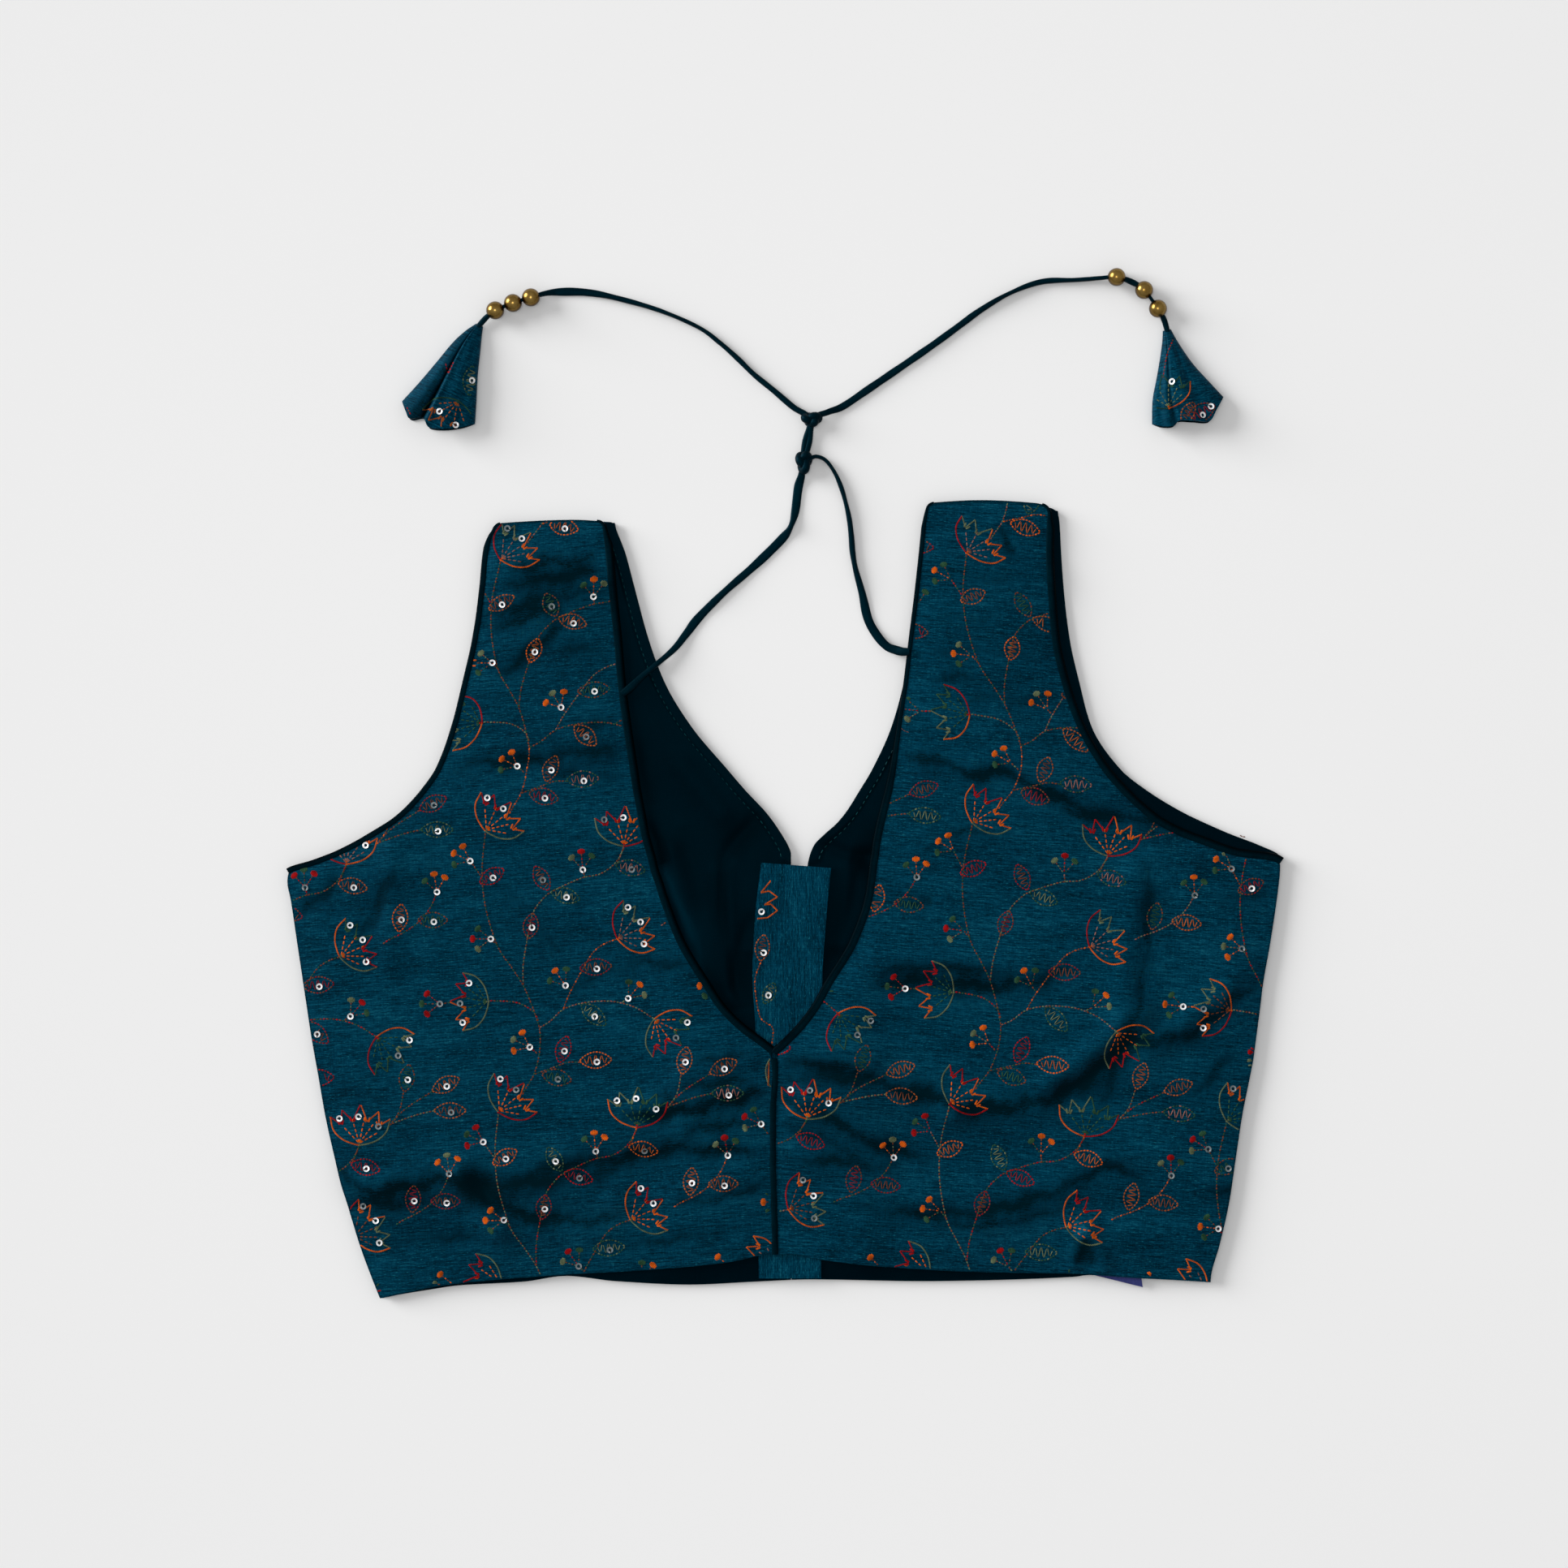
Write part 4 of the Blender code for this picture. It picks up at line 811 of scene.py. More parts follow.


# %% Creases
# Each row: depth, width, how much painted shade, and then x and y of each of its points.
BACK_CREASES = (
    (0.43, 2.4, 0.9, -131, 144.5, -112, 147.5, -84, 152), (0.25, 2, 0.6, -122, 137, -104, 140, -88, 142),
    (0.25, 2.6, 0.7, -128, 152, -108, 155.5, -86, 158),
    (0.25, 2.4, 0.7, -142, 130.5, -128, 133.5, -110, 134, -98, 131),
    (0.25, 2.2, 0.5, -104, 116, -92, 115, -80, 111), (0.37, 2.4, 0.7, -133, 101, -114.5, 117, -99, 129),
    (0.19, 2, 0.5, -136, 122, -124, 129, -112, 131), (0.25, 2.2, 0.6, -100, 79, -86, 80.5, -74, 82),
    (0.5, 2.6, 0.8, -157, 58.5, -137, 63.5, -111, 64.5, -91, 69, -73, 65),
    (0.25, 2.2, 0.5, -110, 57, -90, 57.5, -73, 55), (0.19, 2.4, 0.3, -163, 52, -164, 20, -159, -20),
    (0.31, 2.6, 0.5, -226, -8, -215, 1, -204, 12), (0.31, 3, 0.5, -197, -22, -187, -2, -180, 18),
    (0.19, 4.5, 0.3, -134, 8, -118, -10, -99, -31),
    (0.31, 3, 0.5, -103, -44, -82, -33.5, -60, -29, -38, -32),
    (0.25, 2.2, 0.5, -47, -76.5, -30, -73, -12, -72),
    (0.56, 2.8, 1, -78, -101.5, -47, -97.5, -26, -92, -6.5, -89),
    (0.25, 2, 0.6, -62, -92, -40, -86, -14, -83),
    (0.56, 2.6, 0.9, -120, -126, -82, -120.5, -47, -115.5, -7, -115.5),
    (0.25, 2, 0.5, -48, -107, -26, -104, -7, -104.5),
    (0.68, 2.8, 1, -210, -122, -194, -134.5, -174, -133, -155, -129.5, -142, -133, -126, -144.5, -100,
        -148.5, -74, -147), (0.5, 2.6, 0.9, -150, -131, -128, -131.5, -104, -129, -76, -125.5),
    (0.74, 3.8, 0.9, -152, -126, -145, -131, -136, -138.5),
    (0.31, 2.4, 0.6, -204, -139, -184, -141, -160, -141),
    (0.31, 2.2, 0.6, -52, -140.5, -30, -138, -8, -130.5),
    (0.25, 2.4, 0.4, -190, -160, -160, -156, -120, -160), (0.25, 2.4, 0.4, -90, -161, -56, -158, -20, -151),
    (0.56, 2.4, 0.9, 51, 69, 70, 63.5, 90, 57.5, 102, 59, 119, 50, 136, 42.5, 158, 35),
    (0.43, 2, 0.8, 126, 41, 146, 38.5, 164, 37.5, 186, 30),
    (0.43, 2.8, 0.6, 166.5, 32, 168, -13, 164, -43, 158, -63, 150, -88, 142, -110),
    (0.56, 3, 0.9, 36, -41, 60, -38, 99, -40.5, 122, -36, 133, -30),
    (0.25, 2, 0.6, 44, -33.5, 70, -31, 98, -33),
    (0.74, 3, 1, -3, -83.5, 30, -82, 60, -89.5, 90, -96.5, 119, -93, 143, -80, 158, -67.5, 187, -62, 211,
        -43.5, 224, -38), (0.37, 2.4, 0.7, -3, -75, 14, -76, 34, -80),
    (0.43, 2.4, 0.8, -3, -90, 21, -101.5, 50, -116, 72, -121.5),
    (0.25, 2, 0.5, -3, -104, 20, -112, 40, -124), (0.37, 2.2, 0.6, -3, -119, 30, -122, 50, -126),
    (0.56, 2.6, 0.8, 30, -140.5, 62, -145.5, 99, -143, 128, -133.5, 148, -123.5, 163, -128.5, 173, -141),
    (0.25, 2, 0.5, 70, -151, 98, -150, 130, -143), (0.31, 2, 0.6, 50, -4, 58, -1.5, 69, -1.5),
    (0.19, 2.4, 0.4, 62, 28, 84, 31, 110, 29), (0.31, 2.6, 0.5, 186, -93, 197, -82, 208, -69),
    (0.25, 2.6, 0.4, 198, -4, 211, 2, 225, 1), (0.25, 2.4, 0.5, 193, -132, 202, -135, 211, -134),
    (0.62, 2.2, 0.8, 139, -156, 137, -162, 134, -169), (0.62, 2.2, 0.8, 139, -156, 141.5, -162, 144, -169),
    (0.25, 2, 0.5, 98, 174, 102, 165, 106, 156), (0.19, 2, 0.4, 70, 131, 84, 129, 98, 131),
    (0.19, 2, 0.4, 64, 114, 90, 115, 116, 112), (0.19, 2, 0.4, 78, 91, 102, 93, 124, 90),
    (0.19, 2, 0.4, 66, 101, 78, 103, 92, 101), (0.19, 2, 0.3, 64, 150, 88, 147, 114, 150),
)
# The lining's creases. The last four rows follow the bindings' inner edges and paint their shadow on the
# lining.
LINING_CREASES = (
    (0.8, 2, 1, -11, 41, -17, 34, -23.5, 27, -28.5, 18, -29.2, 4, -28.5, -9, -26.5, -22, -23.5, -36, -21,
        -48), (0.4, 6, 0.9, -9, 36, -16, 31, -24, 20),
    (0.5, 2, 0.9, -14, -6, -18.5, -16, -22.5, -28, -24, -44), (0.4, 5, 0.8, -18, -24, -19.5, -38, -18, -52),
    (0.5, 2, 0.8, -67, 38, -62, 30, -57.5, 22, -56, 9), (0.3, 5, 0.8, -72, 74, -68, 58, -64, 42),
    (0.3, 4, 0.5, -47, 34, -43, 12, -38, -8), (0.8, 2.2, 1, 16, 26, 22, 24, 28, 21.5, 41, 20),
    (0.6, 4.5, 1, 30, 18, 37, 16.5, 44, 15), (0.5, 4.5, 1, 22.5, 14, 24.5, -2, 23, -18, 18, -38),
    (0.5, 2, 0.8, 33, 14, 31, -2, 26, -20), (0.4, 2.4, 0.3, 172, 33, 180, 29, 188, 23),
    (0.3, 2.4, 1.3, -77, 132, -74, 100, -71.5, 80, -67.6, 60, -63.6, 40, -59.2, 18, -54, 2),
    (0.3, 2.4, 1.3, -62, 26, -59, 16, -53.4, 0, -45.6, -20, -34.5, -40, -22, -54),
    (0.4, 3, 1.3, 45, 36, 41.5, 24, 39.5, 17, 38.5, 8),
    (0.4, 2.4, 1.2, 24, -24, 18.5, -36, 11, -48, 2, -58),
)
# A raised ridge on the lining; its mark is a painted highlight.
LINING_RIDGES = (
    (-0.5, 2, 2.4, -57.5, 16, -52.5, 3.5, -48.5, -4.5, -42.5, -18, -39, -31, -37, -40),
)
FRONT_CREASES = (
    (0.45, 4, 0.6, -124, 58, -96, 64, -70, 55), (0.45, 4.5, 0.6, -196, -18, -150, -30, -92, -26),
    (0.45, 4, 0.8, -206, -118, -164, -108, -118, -116), (0.45, 4, 0.7, -104, -148, -66, -138, -20, -144),
    (0.45, 4, 0.7, 12, -128, 64, -146, 118, -136), (0.45, 4.5, 0.7, 66, -62, 112, -52, 154, -62, 200, -40),
    (0.45, 3.5, 0.5, 80, 118, 100, 113, 122, 118),
)
FIELD_STEP = 0.7
FIELD_X = np.arange(-240.0, 240.0, FIELD_STEP)
FIELD_Y = np.arange(-196.0, 196.0, FIELD_STEP)
# Across a crease, in shares of its width: the trough, how far off the lip is, and the lip.
TROUGH_WIDE, LIP_AWAY, LIP_WIDE = 1.35, 2.3, 1.6
# Bells that make up the painted shade mark: strength and width.
SHADE_BELLS = ((0.42, 0.7), (0.30, 1.9), (0.17, 4.2))
# Waves that make its sides ragged: height, and how fast each runs in x, in y and from crease to crease.
WAVES = ((1, 0.29, 0.21, 1.7), (0.6, 0.83, -0.37, 2.9), (0.4, 1.9, 1.3, 1))


def crease_field(rows, lip=0.45, ragged=1.0):
    """The rise and the painted shade of creases over the whole garment. For every place the nearest point of
    the crease's curve gives how far away it is, on which side, and how far along. Across the curve the rise
    is a bell downwards with a wider and lower bell upwards beside it, and the painted shade is a dark core
    in two fainter and wider bells. Slow waves shift and weaken it from place to place, so that its sides are
    as ragged as asked. Along the curve both fade towards its ends, as the root of a bow."""
    rise = np.zeros((len(FIELD_X), len(FIELD_Y)))
    dark = np.zeros_like(rise)
    for number, (depth, width, shade, *points) in enumerate(rows):
        curve = curved(np.reshape(points, (-1, 2)), 36)
        low, high = curve.min(axis=0) - 8 * width, curve.max(axis=0) + 8 * width
        part = tuple(
            slice(*np.searchsorted(axis, (low[k], high[k]))) for k, axis in enumerate((FIELD_X, FIELD_Y))
        )
        place = points_of(FIELD_X[part[0], None, None], FIELD_Y[None, part[1], None], 0.0)[..., :2]
        start, way = curve[:-1], np.diff(curve, axis=0)
        along = clamped(np.sum((place - start) * way, axis=-1) / np.sum(way**2, axis=-1))
        off = place - start - along[..., None] * way
        distance = np.linalg.norm(off, axis=-1)
        nearest = distance.argmin(axis=-1)[..., None]
        side = np.sign(way[:, 0] * off[..., 1] - way[:, 1] * off[..., 0])
        away = np.take_along_axis(distance * side, nearest, -1)[..., 0]
        share = (nearest + np.take_along_axis(along, nearest, -1))[..., 0] / len(way)
        fade = clamped(4 * share * (1 - share)) ** 0.5
        x, y = FIELD_X[part[0], None], FIELD_Y[None, part[1]]
        wave = sum(high * np.sin(by_x * x + by_y * y + by_row * number) for high, by_x, by_y, by_row in WAVES)
        strength = fade * (0.78 + 0.22 * np.sin(0.17 * x - 0.13 * y + 2.3 * number))
        bent = away + 0.16 * ragged * width * wave
        rise[part] -= depth * strength * bell(bent, TROUGH_WIDE * width)
        rise[part] += lip * depth * strength * bell(bent - LIP_AWAY * width, LIP_WIDE * width)
        bent = away + 0.38 * ragged * width * wave
        core = sum(share * bell(bent, wide * width) for share, wide in SHADE_BELLS)
        shaded = shade * strength * core
        dark[part] = dark[part] + shaded - dark[part] * shaded
    return rise, dark


def off_field(field, x, y):
    """A field's value at x, y, mixed from its four nearest places."""
    column = np.clip((x - FIELD_X[0]) / FIELD_STEP, 0, len(FIELD_X) - 1.001)
    row = np.clip((y - FIELD_Y[0]) / FIELD_STEP, 0, len(FIELD_Y) - 1.001)
    i, j = column.astype(int), row.astype(int)
    s, t = column - i, row - j
    low = field[i, j] * (1 - s) + field[i + 1, j] * s
    high = field[i, j + 1] * (1 - s) + field[i + 1, j + 1] * s
    return low * (1 - t) + high * t


CORNER = 3.2
CORNER_FADE = 9.0


def rounded_top(x, y, inner, outer, rows):
    """Lowers the corners of a shoulder edge: a quarter circle off each, that fades out just below."""
    from_side = np.clip(np.minimum(np.abs(x - inner(y)), np.abs(x - outer(y))), 0.0, CORNER)
    drop = CORNER - np.sqrt(CORNER**2 - (CORNER - from_side) ** 2)
    near = clamped(1 - (rows[-1] - rows) / CORNER_FADE)[:, None] ** 2
    return y - drop * near


def points_of(x, y, z):
    """Stacks three arrays into points, the last axis x, y, z."""
    return np.stack(np.broadcast_arrays(x, y, z), axis=-1)


def curved(line, count=24):
    """A smooth curve through plan points."""
    rows = np.column_stack([np.asarray(line, float), np.zeros(len(line))])
    return smooth_rows(rows, max(0.5, so_far(rows)[-1] / count))[:, :2]


# Each field gives the creases' rise and their painted shade; the lining's ridge gives a painted highlight.
BACK_RISE, BACK_CREASE_SHADE = crease_field(BACK_CREASES)
LINING_RISE, LINING_CREASE_SHADE = crease_field(LINING_CREASES, 0.1, 0.2)
RIDGE_RISE, RIDGE_SHINE = crease_field(LINING_RIDGES, 0.0, 0.3)
FRONT_RISE, FRONT_CREASE_SHADE = crease_field(FRONT_CREASES)
by_hand = BACK_CREASES + LINING_CREASES + LINING_RIDGES + FRONT_CREASES
print("creases by hand:", len(by_hand))

# %% [markdown]
# ## The cloth pieces
#
# The layers lie on each other: the front's outer cloth face down on the table, its lining, the strip
# that carries the hooks, and on top the two halves of the back.

# %% Heights of the layers
SEAM_GAP = 0.3
SHELL_TOP = 1.2
LINING_LOW = 1.5
LINING_TOP = 2.5
PLACKET_LOW = 2.8
PLACKET_THICK = 1.0
BACK_LOW = 2.85
BACK_THICK = 1.2
BULGE_RISE = 1.5
BULGE_RUN = 14.0
PLACKET_RIDE = 1.6
PLACKET_RIDE_HALF = 36.0
PLACKET_RIDE_FADE = 24.0
LABEL_RIDE = 1.1
LABEL_RIDE_AT = (154.0, -170.0)
LABEL_RIDE_RUN = 26.0
V_POINT_Y = -73.0
CENTRE_HALF_GAP = 1.3
CENTRE_FRONT_X = 3.0
LEFT_ARM_INSET = 1.5
TURNS = {"left": math.radians(3.6), "right": math.radians(-3.8)}
RIDE_FROM_Y, RIDE_FADE = 60.0, 40.0
LABEL_STEEP = 1.6
SETTLE_RUN = 4.0
CLEAR = 0.05


def centre_x(y):
    """The centre-back seam's line."""
    return edge("back_neck_left", np.minimum(y, V_POINT_Y))


def back_edges(side):
    """The inner and the outer edge of one half of the back, as functions of the height."""

    def inner(y):
        neck = edge("back_neck_" + side, y)
        if side == "left":
            return np.minimum(centre_x(y) - CENTRE_HALF_GAP, neck)
        return np.maximum(centre_x(y) + CENTRE_HALF_GAP, neck)

    def outer(y):
        return edge("arm_" + side, y)

    return inner, outer


def back_height(x, y, side):
    """How high the back lies: the layers below it, its folds, the bulge between its edges, its creases."""
    inner, outer = back_edges(side)
    away = np.abs(x - centre_x(y))
    fade = clamped((PLACKET_RIDE_HALF + PLACKET_RIDE_FADE - away) / PLACKET_RIDE_FADE)
    inside = clamped((RIDE_FROM_Y - y) / RIDE_FADE)
    ride = PLACKET_RIDE * fade**2 * (3 - 2 * fade) * inside
    label = np.hypot(x - LABEL_RIDE_AT[0], y - LABEL_RIDE_AT[1]) / LABEL_RIDE_RUN
    ride = np.maximum(ride, LABEL_RIDE * clamped(LABEL_STEEP * (1 - label)))
    ride = ride + ridges(BACK_FOLDS, x, y) + ridges(LINING_FOLDS, x, y)
    from_edges = (x - inner(y), x - outer(y), y - level(BACK_HEM, x), level(SHOULDER, x) - y)
    near = [np.tanh(np.abs(gap) / BULGE_RUN) for gap in from_edges]
    crease = off_field(BACK_RISE, x, y)
    settle = clamped(np.min([np.abs(gap) for gap in from_edges], axis=0) / SETTLE_RUN)
    return BACK_LOW + ride + BULGE_RISE * np.prod(near, axis=0) + crease * settle


def back_low(x, y, side):
    """The underside of the back, kept clear of the lining."""
    return np.maximum(back_height(x, y, side), LINING_TOP + CLEAR)


def back_top(side):
    """The back's upper face as a function of x and y."""
    return lambda x, y: back_low(x, y, side) + BACK_THICK


# %% Grids and walls of cloth
HEM_SLIDE = 45.0
SHOULDER_SLIDE = 30.0


def spread(bands):
    """Heights for a grid's rows, from bands of (from, to, count)."""
    parts = [np.linspace(low, high, count, endpoint=False) for low, high, count in bands]
    return np.concatenate([*parts, [bands[-1][1]]])


def panel_grid(inner, outer, hem, rows, across):
    """A panel's plan: rows between two edges, which slide to meet the hem and the shoulder."""
    y = np.repeat(rows[:, None], len(across), axis=1)
    u = across[None, :]
    x = inner(y) * (1 - u) + outer(y) * u
    near_hem = clamped(1 - (rows - rows[0]) / HEM_SLIDE)[:, None]
    near_top = clamped(1 - (rows[-1] - rows) / SHOULDER_SLIDE)[:, None]
    y = y + (level(hem, x) - rows[0]) * near_hem + (level(SHOULDER, x) - rows[-1]) * near_top
    return inner(y) * (1 - u) + outer(y) * u, y


def cut_area(points):
    """The area of a grid of points: half the cross product of each cell's diagonals."""
    one = points[1:, 1:] - points[:-1, :-1]
    other = points[1:, :-1] - points[:-1, 1:]
    return float(np.sum(np.linalg.norm(np.cross(one, other), axis=-1)) / 2)


def cloth_wall(name, top, low, finish, node, turn=0.0, marks=None, inside=None):
    """A closed wall of cloth between two grids of points. Its grain is its plan, turned with the weave.
    inside is the finish of its lower face, where that is another cloth."""
    rows, columns = top.shape[:2]
    plan = np.concatenate([top[..., :2].reshape(-1, 2), low[..., :2].reshape(-1, 2)])
    turned_plan = plan @ np.array([[math.cos(turn), -math.sin(turn)], [math.sin(turn), math.cos(turn)]])
    both = {key: np.concatenate([np.ravel(value)] * 2) for key, value in (marks or {}).items()}
    points = np.concatenate([top.reshape(-1, 3), low.reshape(-1, 3)])
    faces = wall_faces(rows, columns)
    piece = add_piece(name, points, faces, finish, (node,), grain=turned_plan, marks=both)
    if inside:
        piece.data.materials.append(inside)
        cells = (rows - 1) * (columns - 1)
        number = np.zeros(len(faces), np.int32)
        number[cells : 2 * cells] = 1
        piece.data.polygons.foreach_set("material_index", number)
    width, length = np.ptp(top[..., 0]), np.ptp(top[..., 1])
    area = min(cut_area(top), width * length)
    print(name, "cut in millimetres:", round(width), "by", round(length), "area:", round(area))
    return piece, (width * MM, length * MM), area * MM * MM


# %% The two halves of the back
BACK_ROWS = ((-180, 8, 136), (8, 32, 34), (32, 174, 100))
BACK_ACROSS = np.linspace(0, 1, 146)
# How dark the painted shade line along the back's hem is, also used along its sides, and how dark the line
# along its shoulder is.
HEM_EDGE_SHADE = 0.5
SHOULDER_DARK_LINE = 0.9

grids = {}
for side, turn in TURNS.items():
    inner, outer = back_edges(side)
    x, y = panel_grid(inner, outer, BACK_HEM, spread(BACK_ROWS), BACK_ACROSS)
    y = rounded_top(x, y, inner, outer, spread(BACK_ROWS))
    z = back_low(x, y, side)
    top, low = points_of(x, y, z + BACK_THICK), points_of(x, y, z)
    # A thin dark line along the hem, which is painted shade, and along the sides and the shoulder.
    dark_edge_and_shade = np.zeros_like(x)
    dark_edge_and_shade[0], dark_edge_and_shade[:, -1], dark_edge_and_shade[-1] = HEM_EDGE_SHADE, HEM_EDGE_SHADE, SHOULDER_DARK_LINE
    marks = {"crease": off_field(BACK_CREASE_SHADE, x, y), "dark_edge_and_shade": dark_edge_and_shade}
    made = cloth_wall(
        f"back_{side}_cloth", top, low, TEAL_SLUB, f"back_{side}_panel",
        turn, marks, inside=LINING,
    )
    grids[side] = (made, top, low)

# %% The front's outer cloth, face down
FRONT_ROWS = ((-180, 8, 76), (8, 36, 30), (36, 176, 50))
FRONT_ACROSS = np.linspace(0, 1, 80)
SHELL_FACE = 0.35
EDGE_BOUND = 3.6
DEEPEST_TROUGH = 0.45
FAR = 99.0
NECK_FROM_Y, ARM_FROM_Y = 10, 12
HEM_SPARED = 2.4


def front_edges(side, inset):
    """The inner and the outer edge of one half of the front, as functions of the height."""

    def inner(y):
        neck = edge("front_neck_" + side, y)
        if side == "left":
            return np.minimum(neck, CENTRE_FRONT_X - SEAM_GAP / 2) - inset
        return np.maximum(neck, CENTRE_FRONT_X + SEAM_GAP / 2) + inset

    def outer(y):
        if side == "right":
            return edge("side_right", y) - inset
        return edge("arm_left", y) + inset + LEFT_ARM_INSET * clamped((y - 8.0) / 12.0)

    return inner, outer


def front_face(x, y):
    """The front's outer face: flat on the table, with its creases as soft troughs up into the cloth."""
    return SHELL_FACE + np.clip(-off_field(FRONT_RISE, x, y), 0.0, DEEPEST_TROUGH)


for side, turn in TURNS.items():
    inner, outer = front_edges(side, 0.0)
    x, y = panel_grid(inner, outer, FRONT_HEM, spread(FRONT_ROWS), FRONT_ACROSS)
    y = rounded_top(x, y, inner, outer, spread(FRONT_ROWS))
    # Painted shade in the front's creases.
    dark = off_field(FRONT_CREASE_SHADE, x, y)
    near_neck = np.where(y > NECK_FROM_Y, np.abs(x - inner(y)), FAR)
    near_arm = np.where(y > ARM_FROM_Y, np.abs(x - outer(y)), FAR)
    near_hem = np.abs(y - level(FRONT_HEM, x)) + HEM_SPARED
    # A dark band along the front's neck, armhole and hem.
    dark_edge_and_shade = (np.min([near_neck, near_arm, near_hem], axis=0) < EDGE_BOUND).astype(float)
    cloth_wall(
        f"front_{side}_cloth", points_of(x, y, SHELL_TOP), points_of(x, y, front_face(x, y)), TEAL_SLUB,
        f"front_{side}_shell", turn, {"crease": dark, "dark_edge_and_shade": dark_edge_and_shade},
    )

# %% The front's lining
LINING_ROWS = ((-180, -60, 24), (-60, 60, 100), (60, 175, 44))
LINING_ACROSS = 1 - (1 - np.linspace(0, 1, 98)) ** 0.6
LINING_INSET = 0.5
LINING_WALL = 0.8
FACING_WIDE = 4.6
FACING_RISE = 0.28


def lining_top(side):
    """The lining's upper face: its folds and creases, and the turned-in facing along the neck, a step up."""
    inner, _ = front_edges(side, LINING_INSET)

    def height(x, y):
        rise = off_field(LINING_RISE, x, y) + off_field(RIDGE_RISE, x, y)
        from_neck = np.abs(x - inner(y)) + 12.0 * clamped((18.0 - y) / 4.0)
        facing = FACING_RISE * clamped((FACING_WIDE + 0.8 - from_neck) / 0.8)
        low = LINING_TOP + ridges(LINING_FOLDS, x, y) + rise + facing
        return np.maximum(low, SHELL_TOP + 0.4)

    return height


for side, turn in TURNS.items():
    inner, outer = front_edges(side, LINING_INSET)
    x, y = panel_grid(inner, outer, FRONT_HEM, spread(LINING_ROWS), LINING_ACROSS)
    y[0] += LINING_INSET
    y[-1] -= LINING_INSET
    z = lining_top(side)(x, y)
    low = points_of(x, y, np.maximum(z - LINING_WALL, SHELL_TOP + CLEAR))
    # Painted shade in the lining's creases and along the bindings, and a painted highlight on its ridge.
    marks = {"crease": off_field(LINING_CREASE_SHADE, x, y), "shine": off_field(RIDGE_SHINE, x, y)}
    cloth_wall(
        f"front_{side}_lining_cloth", points_of(x, y, z), low, LINING, f"front_{side}_lining",
        turn, marks,
    )

# %% [markdown]
# The placket strip is the same teal cloth cut along the warp, so its streaks run up and down. It was
# folded double and sewn inside the centre front, and it ripples where it isn't held.

# %% The placket strip
# Each row: y, and where the strip's left and right edges stand there.
PLACKET = (
    (-174, -12, 16.8), (-120, -13, 16.6), (-60, -13.6, 17), (-36, -15, 17.4), (-6, -13.6, 19.4),
    (15, -10.9, 21.4),
)
PLACKET_WALL = 0.8


def placket_top(x, y):
    """The strip's upper face: two slow ripples that lean across it, over the lining's folds."""
    ripple = 0.18 * (1 + np.sin(y / 9.0 + x / 10.0)) + 0.10 * np.sin(y / 4.1 - x / 7.0)
    middle = 0.12 * bell(x - 0.5 - y / 60.0, 0.8)
    return PLACKET_LOW + PLACKET_THICK + ripple * (y > -70) - middle + ridges(LINING_FOLDS, x, y)


known, left, right = np.array(PLACKET, float).T
y = np.linspace(-175.4, 15.0, 150)[:, None] * np.ones((1, 30))
u = np.linspace(0, 1, 30)[None, :]
x = smooth_through(y, known, left) * (1 - u) + smooth_through(y, known, right) * u
y = y + (1.9 - 2.5 * u) * clamped((y - 3.0) / 12.0)
z = placket_top(x, y)
none = np.zeros_like(z)
placket = cloth_wall(
    "placket_strip", points_of(x, y, z), points_of(x, y, z - PLACKET_WALL), TEAL_SLUB,
    "front_placket", math.radians(90.0), {"crease": none, "dark_edge_and_shade": none},
)

# %% The care label
LABEL_LOW = 2.9
LABEL_AT = (150.0, -166.0)
LABEL_HALF_WIDE, LABEL_LONG = 13.4, 10.2
LABEL_WALL = 0.5


def label_grid():
    """A plain woven tab that hangs out askew below the hem, with a soft bend where it leaves the seam."""
    across = np.linspace(-1, 1, 24)[None, :]
    along = np.linspace(0, 1, 20)[:, None]
    x = LABEL_AT[0] + LABEL_HALF_WIDE * across + 2.2 * along
    y = LABEL_AT[1] - LABEL_LONG * along - 3.3 * across * along
    past_hem = clamped((along - 0.75) / 0.25)
    bend = 0.12 * np.sin(2.4 * across) * along
    return points_of(x, y, LABEL_LOW - 0.3 * past_hem + bend)


low = label_grid()
top = low + [0, 0, LABEL_WALL]
label = cloth_wall("care_tab", top, low, LABEL, "care_label", math.radians(12.0))

# %% [markdown]
# ## Binding and piping
#
# The neck of the back is bound with a bias strip that is folded over the edge, about 3 mm wide. The
# right strap turns its binding under near the shoulder, so it shows narrower there. The armholes and
# the centre seam are piped: a strip folded round a thin cord. Each is a rounded section carried along
# the edge of its panel, with a little unevenness from the needle.

# %% Sections carried along an edge
NECK_BINDING = 2.9
NECK_BINDING_TURNED = 1.3
TURNS_UNDER_FROM = 40.0
TURNED_UNDER_AT = 86.0
ARM_PIPING = {"left": 1.9, "right": 3.0}
UNDERARM_Y = {"left": 12.0, "right": 16.0}
CENTRE_PIPING = 2.0
ON_CLOTH = 0.5
STEEPEST_MITRE = 0.6
TRIM_STEP = 0.9
TRIM_SECTION = np.array([
    (0.00, 0.10), (0.06, 0.38), (0.20, 0.52), (0.45, 0.60), (0.70, 0.52), (0.88, 0.28), (0.97, -0.15),
    (1.00, -0.60), (0.90, -0.95), (0.60, -1.05), (0.30, -1.05), (0.14, -1.00),
])


def outward(line, sign):
    """Mitred normals of a plan line, on its left, or on its right if sign is -1."""
    runs = unit(np.diff(line, axis=0))
    sides = sign * np.stack([-runs[:, 1], runs[:, 0]], axis=1)
    before = np.vstack([sides[:1], sides])
    after = np.vstack([sides, sides[-1:]])
    mitre = unit(before + after)
    return mitre / np.maximum(np.sum(mitre * before, axis=1, keepdims=True), STEEPEST_MITRE)


